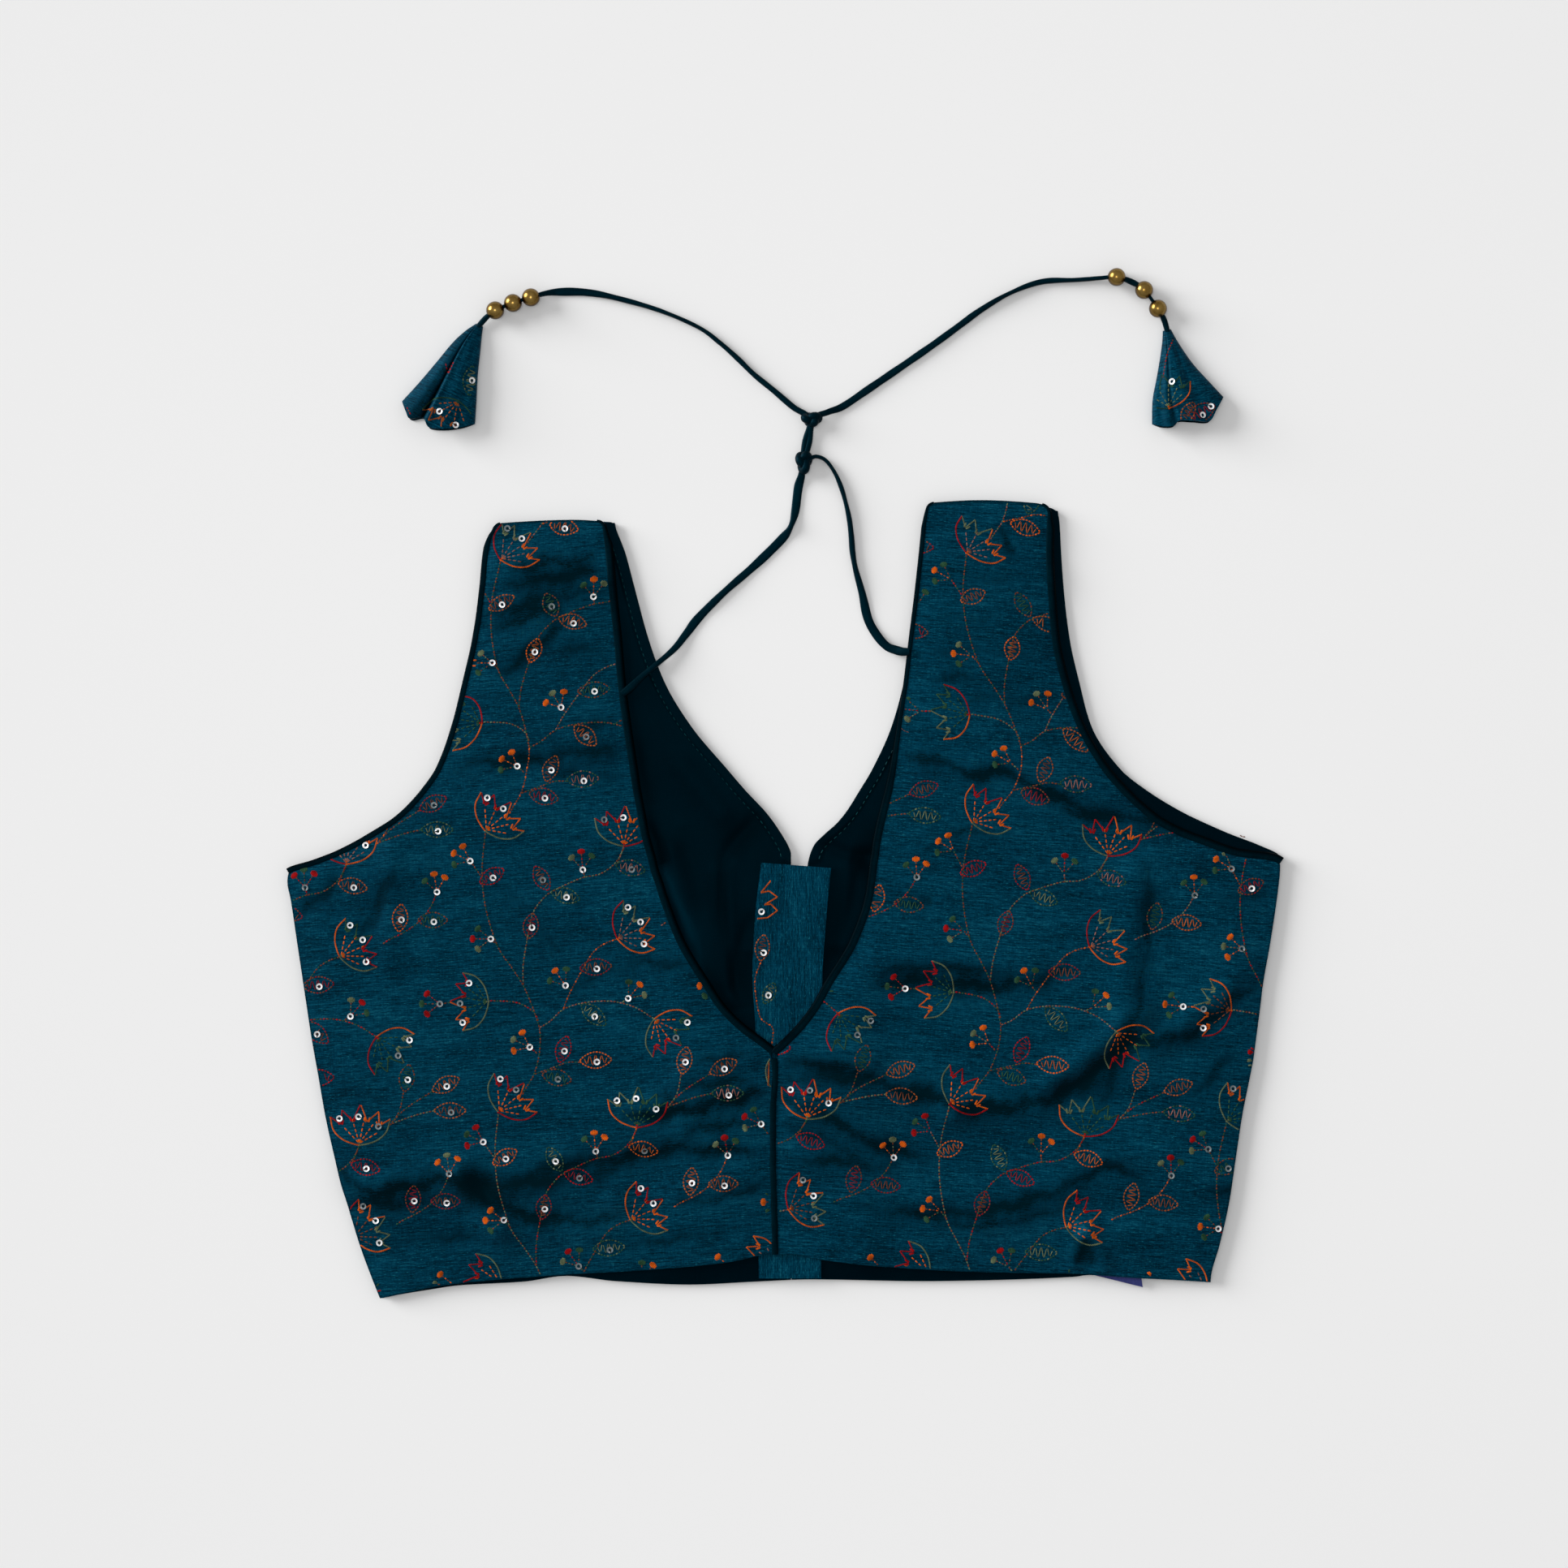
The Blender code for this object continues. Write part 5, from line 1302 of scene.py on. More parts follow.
def trim(name, line, z, normals, width, node):
    """A rounded strip along an edge: its section starts on the cloth and ends width beyond the seam. It
    has painted shade where it turns down and away."""
    width = np.broadcast_to(width, len(line))
    away = -ON_CLOTH + (width + SEAM_GAP + ON_CLOTH)[:, None] * TRIM_SECTION[:, 0]
    plan = line[:, None, :] + normals[:, None, :] * away[..., None]
    distance = so_far(np.column_stack([line, z]))
    pucker = 1 + 0.10 * np.sin(distance / 1.9) * np.sin(distance / 7.3)
    height = z[:, None] + BACK_THICK + TRIM_SECTION[None, :, 1] * pucker[:, None]
    points = points_of(plan[..., 0], plan[..., 1], height)
    girth = 1.4 * width.mean() * np.linspace(0, 1.6, len(TRIM_SECTION))
    # Painted shade on the part of the section that turns down, away from the top.
    turned_down_shade = clamped((TRIM_SECTION[:, 0] - 0.5) / 0.35) + np.zeros(len(line))[:, None]
    return add_piece(
        name, points, tube_faces(*points.shape[:2]), BINDING, (node,),
        grain=grain_grid(distance, girth), marks={"crease": turned_down_shade},
    )


def finer(line, z, step):
    """A plan line and its heights at even steps."""
    known = so_far(line)
    even = np.linspace(0, known[-1], round(known[-1] / step) + 1)
    plan = np.stack([np.interp(even, known, line[:, k]) for k in (0, 1)], axis=1)
    return plan, np.interp(even, known, z)


def round_the_corner(column, row):
    """An edge of a panel from below, then on round the shoulder's corner along the top row."""
    away = np.abs(row[:, 0] - row[0, 0])
    return np.vstack([column, row[1:][away[1:] < CORNER]])


def tapered(width, line, end=0.12, over=13.0):
    """A width that falls off to a share of itself at the line's far end."""
    left = so_far(line)[-1] - so_far(line)
    return width * (end + (1 - end) * clamped(left / over) ** 1.3)


# %% Neck bindings, armhole pipings and the centre seam
trims = {"left": [], "right": []}
for side, sign in (("left", -1), ("right", 1)):
    _, _, low = grids[side]
    neck = round_the_corner(low[low[:, 0, 1] >= V_POINT_Y - 0.2, 0], low[-1])
    line, z = finer(neck[:, :2], neck[:, 2], TRIM_STEP)
    over_lining = BACK_LOW + 1.2 * ridges(LINING_FOLDS, line[:, 0] - 2.0 * sign, line[:, 1])
    z = np.maximum(z, over_lining)
    turned_under = clamped((line[:, 1] - TURNS_UNDER_FROM) / (TURNED_UNDER_AT - TURNS_UNDER_FROM))
    turned_under = turned_under**2 * (3 - 2 * turned_under) * (side == "right")
    width = tapered(NECK_BINDING + (NECK_BINDING_TURNED - NECK_BINDING) * turned_under, line)
    normals = outward(line, sign)
    normals[0] = np.array([0.0, 1.0]) / max(float(normals[0, 1]), STEEPEST_MITRE)
    name = f"neck_binding_{side}"
    trims[side].append(trim(name, line, z, normals, width, f"back_neck_binding_{side}"))
    arm = round_the_corner(low[low[:, -1, 1] >= UNDERARM_Y[side] - 0.2, -1], low[-1, ::-1])
    line, z = finer(arm[:, :2], arm[:, 2], TRIM_STEP)
    width = tapered(np.full(len(line), ARM_PIPING[side]), line)
    name, normals = f"arm_piping_{side}", outward(line, -sign)
    trims[side].append(trim(name, line, z, normals, width, f"armhole_piping_{side}"))
    print("binding and piping, side", side, "stations:", len(line))


def centre_piping():
    """A cord in a folded strip: an oval section carried down the centre seam."""
    _, _, low = grids["right"]
    inner_edge = low[:, 0]
    at = inner_edge[:, 1] < V_POINT_Y + 0.5
    y = inner_edge[at, 1]
    line = np.stack([centre_x(y), y, inner_edge[at, 2] + BACK_THICK + 0.05], axis=1)
    even = so_far(line)
    pucker = 1 + 0.06 * np.sin(even / 1.7)
    half = np.full(len(line), CENTRE_PIPING / 2 + SEAM_GAP + 0.15) * pucker
    points = carried(line, half, np.full(len(line), 0.8), squareness=2.1)
    grain = grain_grid(even, np.linspace(0, 7, 12))
    return add_piece(
        "centre_piping", points, tube_faces(*points.shape[:2]), BINDING,
        ("centre_back_piping",), grain=grain,
    )


trims["right"].append(centre_piping())

# %% [markdown]
# ## The embroidery
#
# The cloth was embroidered before it was cut. One repeat, about 129 mm across and as high, holds a
# vine with five flowers, fifteen leaves and eight sprigs of berries. It is charted here from the
# junction of the vine, in millimetres, and then repeated over each panel and cut off at the
# panel's edges, as the scissors did.
#
# A stitch is a low loaf: six points on the cloth and two along its back. A line of stitches is a line
# cut into even lengths. Where the machine changed thread the colours change, so each stitch has its
# own dye, and all the stitches of one dye on one panel are joined into one mesh.

# %% The chart of one repeat
REPEAT_RIGHT = np.array([128.3, 8.3])
REPEAT_UP = np.array([-6.0, 129.8])
# Each flower: x, y, the way it faces, size.
FLOWERS = (
    (-23.5, 12, 180, 1), (-19, -39, 48, 1), (36, 41, 33, 1), (53, 4, -44, 0.98), (45, -46, 88, 1.04),
)
# Each leaf: x, y, the way it points, length, width.
LEAVES = (
    (26, 28, 5, 15, 7.6), (25, 6, -41, 15, 7.4), (11, -10, 73, 13, 7), (26, -15, 3, 15, 7.6),
    (8, -23, -12, 14, 7.6), (67, -15, 80, 13, 7), (85, -18, 25, 14, 7.2), (87, -30, 0, 15, 7.2),
    (-4, 47, 80, 12, 7), (1, 69, 120, 13, 7), (12, 61, -15, 14, 7), (-22, 70, 30, 13, 7),
    (48, -56, -12, 14, 7.2), (64, 59, 85, 13, 7), (79, 58, 0, 14, 7.2),
)
# Each sprig: x, y, the way it points.
SPRIGS = (
    (-22.5, 41, 180), (12, 19.5, 125), (41, 13.5, 50), (-4.5, -9, 155),
    (-46, 11, 180), (-32, 77, 155), (20, 73, 95), (81, 71, 100),
)
# Each stem: x and y of each of its points.
STEMS = (
    (0, 0, -3, 9, -7.5, 19.5, -13, 28, -19.5, 38, -25, 56, -26.5, 73, -25, 90),
    (-7.5, 19.5, -7.5, 29, -5.6, 41, -3, 53, 2, 60, 6, 63, 19, 69, 28, 71, 35, 76, 39, 83),
    (-0.5, 3, -3, 7.5, -10.5, 11.6, -23, 12.5), (-41, 11.6, -46, 11),
    (0, 0, 5, 3, 11, 8.5, 20, 11.4, 30, 12.3, 37, 11.6, 45, 9, 53, 4),
    (11, 8.5, 14, 16, 20, 27, 25, 35, 30.5, 39, 36, 41),
    (0, 0, 0.4, -5.5, -0.3, -13.5, -2.5, -21.5, -6, -27.5, -8, -31),
    (-2.5, -21.5, 2, -20, 7.5, -18, 13, -16, 19, -16), (59, -37, 63.5, -30.5, 65.5, -21.5),
    (59, -37, 66, -29.5, 79, -21), (60, -36, 71.5, -32, 80, -30),
    (56, 47, 59, 49, 66, 52.5, 73, 57.5, 78, 64, 81, 71), (45, -46, 42, -54), (-22.5, 41, -19.5, 38),
    (12, 19.5, 14, 17.5), (41, 13.5, 38, 11.6), (-4.5, -9, -1, -12), (-32, 77, -27, 70), (20, 73, 21, 69),
)
PETAL = ((0, 0), (0.6, 3.2), (2.4, 7.8), (6.2, 11.8), (12.0, 13.4))
TEETH = ((12.0, 13.4), (9.0, 8.6), (15.2, 8.2), (10.6, 3.2), (17.8, 0.2))
NOTCHES = ((9.0, 8.6), (10.6, 3.2))
TEETH_SIDES = {sign: np.array(TEETH) * [1, sign] for sign in (1, -1)}
STAMENS = ((-54, 10.0), (-32, 11.5), (-9, 13.0), (17, 12.5), (43, 10.5))
# Where a flower's sequins are: how far forward of its base, and to its left.
FLOWER_RINGS = ((12.0, 9.6), (13.2, 0.8), (9.0, -8.6))
LEAF_RING = (0.5, -0.8)
SATIN_STEP = 0.62
SATIN_FILL = 0.72

# %% Colourways
# The repeats take the first WAYS rows in turn. The last two rows are for the tassels.
FLOWER_WAYS = [row.split() for row in (
    "sage orange red sage green",
    "sage red orange red orange",
    "red sage orange orange rose",
    "orange green red sage orange",
    "orange sage green red green",
    "orange red orange sage orange",
    "red orange sage orange copper",
    "green green green orange sage",
    "green rust rust green rust",
)]
LEAF_WAYS = [row.split() for row in (
    "wine copper", "rust rust", "green sage", "rust copper", "red wine", "green rose",
    "orange rust", "copper wine", "copper green",
)]
SPRIG_WAYS = [row.split() for row in (
    "green red sage", "green orange green", "sage orange green", "orange sage orange",
    "red green red", "orange orange green",
)]
STEM_WAYS = [row.split() for row in (
    "copper green copper", "copper sage", "copper red copper green", "green copper copper",
    "rose copper sage", "orange copper copper", "copper copper green",
)]
WAYS = 7
print("motifs in a repeat:", len(FLOWERS), "flowers,", len(LEAVES), "leaves,", len(SPRIGS), "sprigs")

# %% Lines of stitches
# A stitch is a row of x, y, angle, length, width and the number of its dye.


def run(line, step, width, dyes, fill=0.88, skew=0.0):
    """A line cut into even stitches: for each its middle, angle, length, width and dye.
    skew leans the stitches this way and that, as twisted thread looks."""
    line = np.asarray(line, float)
    known = so_far(line)
    count = max(1, round(known[-1] / step))
    cuts = np.linspace(0, known[-1], count + 1)
    ends = np.stack([np.interp(cuts, known, line[:, k]) for k in (0, 1)], axis=1)
    way = np.diff(ends, axis=0)
    middle = ends[:-1] + way / 2
    angle = np.arctan2(way[:, 1], way[:, 0]) + skew * np.where(np.arange(count) % 2, 1.0, -1.0)
    length = np.hypot(way[:, 0], way[:, 1]) * fill
    dye = np.resize([DYE_NUMBER[name] for name in dyes], count)
    return np.column_stack([middle, angle, length, np.full(count, width), dye])


def corners(line, step, width, dyes):
    """Stitches along each straight side of a line by itself, so that its corners stay sharp."""
    return np.vstack([run(part, step, width, dyes) for part in zip(line[:-1], line[1:])])


def band(line, width, dyes, slant=0.75):
    """A satin band along a line: narrow stitches side by side, all slanted the same way across it."""
    fill = width / SATIN_STEP / math.cos(slant) * SATIN_FILL
    return run(line, SATIN_STEP, SATIN_STEP, dyes, fill) + [0, 0, slant, 0, 0, 0]


def placed(stitches, x, y, degrees, size=1.0):
    """Stitches turned, scaled and moved."""
    turn = math.radians(degrees)
    out = stitches.copy()
    out[:, 0] = x + size * (math.cos(turn) * stitches[:, 0] - math.sin(turn) * stitches[:, 1])
    out[:, 1] = y + size * (math.sin(turn) * stitches[:, 0] + math.cos(turn) * stitches[:, 1])
    out[:, 2] += turn
    out[:, 3:5] *= size
    return out


def flower(way):
    """A flower that faces +x from its base: two outer petals, a row of teeth, satin at the notches, and
    stamens that fan out from the base."""
    left_petal, left_teeth, right_teeth, right_petal, stamen = FLOWER_WAYS[way]
    rows = []
    for sign, petal, teeth in ((1, left_petal, left_teeth), (-1, right_petal, right_teeth)):
        flip = np.array([1, sign])
        rows.append(band(curved(np.array(PETAL) * flip), 1.2, (petal,)))
        rows += [band(part, 1.1, (teeth,)) for part in zip(TEETH_SIDES[sign][:-1], TEETH_SIDES[sign][1:])]
        for x, y in np.array(NOTCHES) * flip:
            satin = ((x - 0.6, y + 0.5), (x + 2.2, y + 1.5)), ((x - 0.6, y - 0.5), (x + 2.2, y - 1.2))
            rows += [run(line, 3.2, 1.15, (teeth,), 1.0) for line in satin]
    for degrees, reach in STAMENS:
        turn = math.radians(degrees)
        line = ((0.8, 0.0), (reach * math.cos(turn), reach * math.sin(turn)))
        rows.append(run(line, 2.3, 0.8, (stamen,), 0.84))
    rows.append(run(((-0.6, 0.0), (1.6, 0.0)), 1.1, 1.3, (right_petal,), 1.1, 0.5))
    return np.vstack(rows)


def leaf(way, length, width):
    """A leaf along +x: a pointed oval of stitches, and a zigzag of long thin stitches inside it.
    The oval's half width at a share t of its length is the sine of pi t, to the power 0.8."""
    outline, inside = LEAF_WAYS[way % len(LEAF_WAYS)]
    t = np.linspace(0, 1, 22)
    x = (t - 0.5) * length
    half = width / 2 * np.sin(np.pi * t) ** 0.8
    sides = [np.column_stack([x, sign * half]) for sign in (1, -1)]
    rows = [run(line, 1.5, 0.92, (outline, outline, inside), 0.93) for line in sides]
    t = np.linspace(0.14, 0.86, 9)
    zigzag = np.column_stack([(t - 0.5) * length, 0.43 * width * np.sin(np.pi * t) * np.resize((1, -1), 9)])
    rows.append(corners(zigzag, 9.0, 0.64, (inside,)))
    return np.vstack(rows)


def sprig(way):
    """Three berries on stalks that fan out round +x. A berry is five satin stitches side by side."""
    rows = []
    for degrees, dye in zip((-38, 0, 38), SPRIG_WAYS[way % len(SPRIG_WAYS)]):
        reach = 7.6 if degrees else 8.4
        stalk = run(((0.8, 0), (reach - 1.0, 0)), 1.5, 0.75, (dye, "copper"), 0.85)
        satin = np.array([
            (reach, 0.66 * row, 0.0, 3.5 - 0.34 * row * row, 1.05, DYE_NUMBER[dye]) for row in range(-2, 3)
        ])
        rows += [placed(stitches, 0, 0, degrees) for stitches in (stalk, satin)]
    return np.vstack(rows)


ON_FLOWER, ON_LEAF, ON_SPRIG = range(3)


def one_repeat(way):
    """All the stitches of one repeat, in one colourway, and its sequins: where, and on what motif."""
    rows, rings = [], []
    for number, (x, y, facing, size) in enumerate(FLOWERS):
        rows.append(placed(flower((number + 2 * way) % WAYS), x, y, facing, size))
        turn = math.radians(facing)
        for forward, sideways in FLOWER_RINGS[: 3 - (number + way) % 2]:
            rings.append((
                x + forward * math.cos(turn) - sideways * math.sin(turn),
                y + forward * math.sin(turn) + sideways * math.cos(turn),
                ON_FLOWER,
            ))
    for number, (x, y, facing, length, width) in enumerate(LEAVES):
        rows.append(placed(leaf(2 * number + 4 * way, length, width), x, y, facing))
        rings.append((x + LEAF_RING[0], y + LEAF_RING[1], ON_LEAF))
    for number, (x, y, facing) in enumerate(SPRIGS):
        rows.append(placed(sprig(number + way), x, y, facing))
        rings.append((x, y, ON_SPRIG))
    for number, line in enumerate(STEMS):
        dyes = STEM_WAYS[(number + 3 * way) % len(STEM_WAYS)]
        rows.append(run(curved(np.reshape(line, (-1, 2)), 60), 1.5, 0.88, dyes, 0.95, 0.18))
    return np.vstack(rows), np.array(rings)


REPEATS = [one_repeat(way) for way in range(WAYS)]
print("stitches in a repeat:", len(REPEATS[0][0]), "sequins:", len(REPEATS[0][1]))

# %% Repeats over a panel
LEAN_FROM = 60.0
LEAN = {"left": 0.13, "right": -0.13}
LEAN_SHRINKS = 0.045
# Where the vine's junction is on each panel, and how many degrees it is turned.
BACK_JUNCTIONS = (("left", (-113.3, -59.3), 0.0), ("right", (99.8, -58.1), -7.4))
FRONT_JUNCTIONS = (("left", (-98.0, -40.0), 0.0), ("right", (118.0, -64.0), 7.4))
CELLS = [(i, j) for i in range(-3, 4) for j in range(-2, 4)]


def eased(stitches, rings, lean):
    """Above the armholes the straps lean in, and the weave with them: a shear, and a little shrinkage."""
    moved, new_rings = stitches.copy(), rings.copy()
    for table in (moved, new_rings):
        above = np.maximum(table[:, 1] - LEAN_FROM, 0.0)
        table[:, 0] += lean * above
        table[:, 1] -= LEAN_SHRINKS * above
    high = stitches[:, 1] > LEAN_FROM
    run_x, run_y = np.cos(stitches[high, 2]), np.sin(stitches[high, 2])
    moved[high, 2] = np.arctan2(run_y * (1 - LEAN_SHRINKS), run_x + lean * run_y)
    return moved, new_rings


def over_panel(junction, degrees, mirrored=False):
    """The repeat's stitches and sequins over every cell round a junction, each in its own colourway."""
    turn = math.radians(degrees)
    rotate = np.array([[math.cos(turn), math.sin(turn)], [-math.sin(turn), math.cos(turn)]])
    all_stitches, all_rings = [], []
    for i, j in CELLS:
        stitches, rings = REPEATS[(3 * i + 2 * j) % WAYS]
        shift = (i * REPEAT_RIGHT + j * REPEAT_UP) @ rotate
        moved = placed(stitches, 0, 0, degrees)
        moved[:, :2] += shift
        all_stitches.append(moved)
        moved_rings = rings.copy()
        moved_rings[:, :2] = rings[:, :2] @ rotate + shift
        all_rings.append(moved_rings)
    stitches, rings = np.vstack(all_stitches), np.vstack(all_rings)
    if mirrored:
        stitches[:, 0] *= -1
        stitches[:, 2] = np.pi - stitches[:, 2]
        rings[:, 0] *= -1
    stitches[:, :2] += junction
    rings[:, :2] += junction
    return stitches, rings


def within(rows, inner, outer, hem, margin):
    """Which stitches or sequins lie on a panel, margin or more inside its edges."""
    x, y = rows[:, 0], rows[:, 1]
    low, high = np.minimum(inner(y), outer(y)), np.maximum(inner(y), outer(y))
    between = (x > low + margin) & (x < high - margin)
    return between & (y > level(hem, x) + margin) & (y < level(SHOULDER, x) - margin)


# %% Stitches and sequins as meshes
STITCH_POINTS = np.array([
    (-0.5, 0.0, 0.0), (-0.28, -0.5, 0.0), (0.28, -0.5, 0.0), (0.5, 0.0, 0.0), (0.28, 0.5, 0.0),
    (-0.28, 0.5, 0.0), (-0.27, 0.0, 1.0), (0.27, 0.0, 1.0),
])
STITCH_FACES = np.array([
    (0, 1, 6), (1, 2, 7), (1, 7, 6), (2, 3, 7), (3, 4, 7), (4, 5, 6), (4, 6, 7), (5, 0, 6),
    (0, 5, 1), (1, 5, 4), (1, 4, 2), (2, 4, 3),
])
STITCH_SUNK = 0.12
STITCH_PROUD = 0.26
STITCH_CRISP = 70.0
FEEL = 0.4


def slopes(surface, x, y):
    """A surface's height at x, y, and its slopes, from heights a little way off on each side."""
    z = surface(x, y)
    slope_x = (surface(x + FEEL, y) - surface(x - FEEL, y)) / (2 * FEEL)
    slope_y = (surface(x, y + FEEL) - surface(x, y - FEEL)) / (2 * FEEL)
    return z, slope_x, slope_y


def on_surface(surface, x, y, angle, facing=1.0):
    """For each place its point on the surface and three directions: along, across and off the cloth."""
    z, slope_x, slope_y = slopes(surface, x, y)
    along = unit(points_of(np.cos(angle), np.sin(angle), slope_x * np.cos(angle) + slope_y * np.sin(angle)))
    off = unit(points_of(-slope_x, -slope_y, np.ones_like(z))) * facing
    return points_of(x, y, z), along, np.cross(off, along), off


def many(shape, faces, origin, axes, scales):
    """Copies of a small shape, one at each origin, along its three axes with its three scales."""
    points = origin[:, None, :] + sum(
        (shape[None, :, k] * scales[k][:, None])[..., None] * axes[k][:, None, :] for k in range(3)
    )
    steps = np.arange(len(origin))[:, None, None] * len(shape)
    return points.reshape(-1, 3), (faces[None] + steps).reshape(-1, faces.shape[1])


def sew(name, stitches, surface, facing=1.0, proud=STITCH_PROUD):
    """Joined meshes of stitches on a surface, one for each dye."""
    pieces = []
    for dye, number in DYE_NUMBER.items():
        x, y, angle, length, width, _ = stitches[stitches[:, 5] == number].T
        if not len(x):
            continue
        place, along, across, off = on_surface(surface, x, y, angle, facing)
        place = place - off * STITCH_SUNK
        rise = np.full(len(x), STITCH_SUNK + proud)
        axes, scales = (along, across, off), (length, width, rise)
        points, faces = many(STITCH_POINTS, STITCH_FACES, place, axes, scales)
        pieces.append(add_piece(
            f"{name}_{dye}", points, faces, THREADS[dye], crisp=STITCH_CRISP,
        ))
    print(name, "stitches:", len(stitches))
    return pieces


RING_OUTER = 1.5
RING_HOLE = 0.74
RING_SEGMENTS = 14
RING_LIFT = 0.16
RING_TILT = 0.10
WORN_STEP = 0.618


def ring_shape():
    """A cupped ring: a thin slanted section turned about its hole."""
    lower, upper = [(RING_HOLE, 0.02), (RING_OUTER, 0.26)], [(RING_OUTER + 0.02, 0.36), (RING_HOLE, 0.14)]
    section = np.array(lower + upper)
    turn = np.linspace(0, 2 * np.pi, RING_SEGMENTS, endpoint=False)
    x, y = (section[:, 0, None] * f(turn)[None, :] for f in (np.cos, np.sin))
    shape = points_of(x, y, section[:, 1, None]).reshape(-1, 3)
    return shape, loop_faces(len(section), RING_SEGMENTS)


def sew_rings(name, rings, surface, worn):
    """Sequins on a surface, each held by one stitch from its hole over its edge, and a little askew.
    A share of them, worn, has lost part of the foil and looks dull."""
    shape, faces = ring_shape()
    x, y = rings[:, 0], rings[:, 1]
    number = np.arange(len(x))
    angle = 0.9 + 2.6 * np.sin(number * 2.4)
    place, along, across, off = on_surface(surface, x, y, angle)
    tip_along = RING_TILT * np.sin(number * 1.7)[:, None] * along
    lean = unit(off + tip_along + RING_TILT * np.cos(number * 2.9)[:, None] * across)
    side = unit(np.cross(lean, along))
    front = np.cross(side, lean)
    one = np.ones(len(x))
    points, cells = many(shape, faces, place + RING_LIFT * off, (front, side, lean), (one, one, one))
    dull = np.repeat(np.where(number * WORN_STEP % 1.0 < worn, 1.0, 0.0), len(shape))
    made = [add_piece(name, points, cells, FOIL, marks={"dull": dull}, crisp=40.0)]
    hold = place + 0.75 * along + (RING_LIFT + 0.08) * off
    sizes = (2.1 * one, 0.6 * one, 0.34 * one)
    points, cells = many(STITCH_POINTS, STITCH_FACES, hold, (along, across, off), sizes)
    made.append(add_piece(name + "_hold", points, cells, SEWING, crisp=STITCH_CRISP))
    print(name, "sequins:", len(x))
    return made


# %% Embroidery on the back
# On the right half the sequins are gone between two x, on the leaves left of a third, and above a y.
BARE_RIGHT = (61.0, 170.0)
BARE_LEAVES = 190.0
BARE_ABOVE = 45.0
RING_MARGIN = 1.8
FRONT_MARGIN = 3.8
CUT_BY_SEAM = ((-7.4, -75.0), (-7.6, -86.0))
LOOSE_ENDS = (((52.9, 80.4), (54.6, 78.2), (57.4, 77.1)), ((210.2, 29.6), (211.4, 28.9), (212.8, 28.8)))
WORN = {"left": 0.22, "right": 0.6}
embroidery = {}
for side, junction, degrees in BACK_JUNCTIONS:
    stitches, rings = eased(*over_panel(junction, degrees), LEAN[side])
    inner, outer = back_edges(side)
    if side == "left":
        stitches = np.vstack([stitches, band(CUT_BY_SEAM, 1.3, ("rust",))])
    half_long = 0.5 * stitches[:, 3]
    stitches = stitches[within(stitches, inner, outer, BACK_HEM, half_long)]
    rings = rings[within(rings, inner, outer, BACK_HEM, RING_MARGIN)]
    if side == "right":
        inward, outward_side = rings[:, 0] < BARE_RIGHT[0], rings[:, 0] > BARE_RIGHT[1]
        rings = rings[(inward | outward_side) & ((rings[:, 2] != ON_LEAF) | (rings[:, 0] > BARE_LEAVES))]
        rings = rings[rings[:, 1] < BARE_ABOVE]
        loose = [run(curved(line), 1.6, 0.5, ("rose",), 1.05) for line in LOOSE_ENDS]
        stitches = np.vstack([stitches, *loose])
    embroidery[side] = sew(f"back_{side}_thread", stitches, back_top(side))
    embroidery[side] += sew_rings(f"back_{side}_sequins", rings, back_top(side), WORN[side])

# %% Embroidery on the front, on its hidden side
for side, junction, degrees in FRONT_JUNCTIONS:
    stitches, _ = over_panel(junction, degrees, mirrored=True)
    stitches = stitches[within(stitches, *front_edges(side, 0.0), FRONT_HEM, FRONT_MARGIN)]
    embroidery["front_" + side] = sew(f"front_{side}_thread", stitches, front_face, facing=-1.0, proud=0.2)

# %% [markdown]
# The placket strip was cut along the left edge of a motif, so half a flower, a leaf and a stem show
# beside its fold.

# %% Embroidery on the placket
PLACKET_TEETH = (
    (-6.5, 8.5), (-11, 3), (-7.2, 3.8), (-3.4, 1), (-9.4, -2.6), (-6.4, -2.3), (-3.4, -5.3), (-8, -8.6),
    (-12.7, -9),
)
PLACKET_STEM = ((-11, -29), (-13.6, -36), (-13.6, -43), (-11.6, -54), (-9, -57), (-5.4, -60), (-6.4, -70))
PLACKET_MOTIFS = (
    (np.vstack([band(part, 1.15, ("orange",)) for part in zip(PLACKET_TEETH[:-1], PLACKET_TEETH[1:])]),
     0, 0, 0, 1.0),
    (leaf(3, 12.5, 6.6), -10.4, -22.5, 82, 1.0),
    (leaf(2, 11.0, 5.6), -7.2, -43.5, 64, 1.0),
    (run(curved(PLACKET_STEM, 60), 1.5, 0.85, ("orange", "copper", "copper"), 0.95, 0.18), 0, 0, 0, 1.0),
)
stitches = np.vstack([placed(motif, *values) for motif, *values in PLACKET_MOTIFS])
known, left, right = np.array(PLACKET, float).T
on_strip = stitches[:, 0] > smooth_through(stitches[:, 1], known, left) + 0.7
embroidery["placket"] = sew("placket_thread", stitches[on_strip & (stitches[:, 1] < 14.0)], placket_top)
rings = np.array([(-10.8, -5.8), (-9.8, -24.8), (-7.6, -44.4)])
embroidery["placket"] += sew_rings("placket_sequins", rings, placket_top, 0.0)

# %% [markdown]
# ### Machine stitching
#
# The facing inside the front neck is held by a line of small stitches in dark thread, four and a half
# millimetres from the edge. Each is the same small loaf as a stitch of the embroidery.

# %% Lines of machine stitching


def machine_line(name, line, surface, step, length, width=0.5):
    """A row of small stitches along a plan line, on a surface."""
    x, y, angle, long, wide, _ = run(line, step, width, ("green",), length / step).T
    place, along, across, off = on_surface(surface, x, y, angle)
    sizes = (long, wide, np.full(len(x), 0.22))
    points, faces = many(STITCH_POINTS, STITCH_FACES, place - 0.05 * off, (along, across, off), sizes)
    print(name, "stitches:", len(x))
    return add_piece(name, points, faces, FACING_THREAD, crisp=STITCH_CRISP)


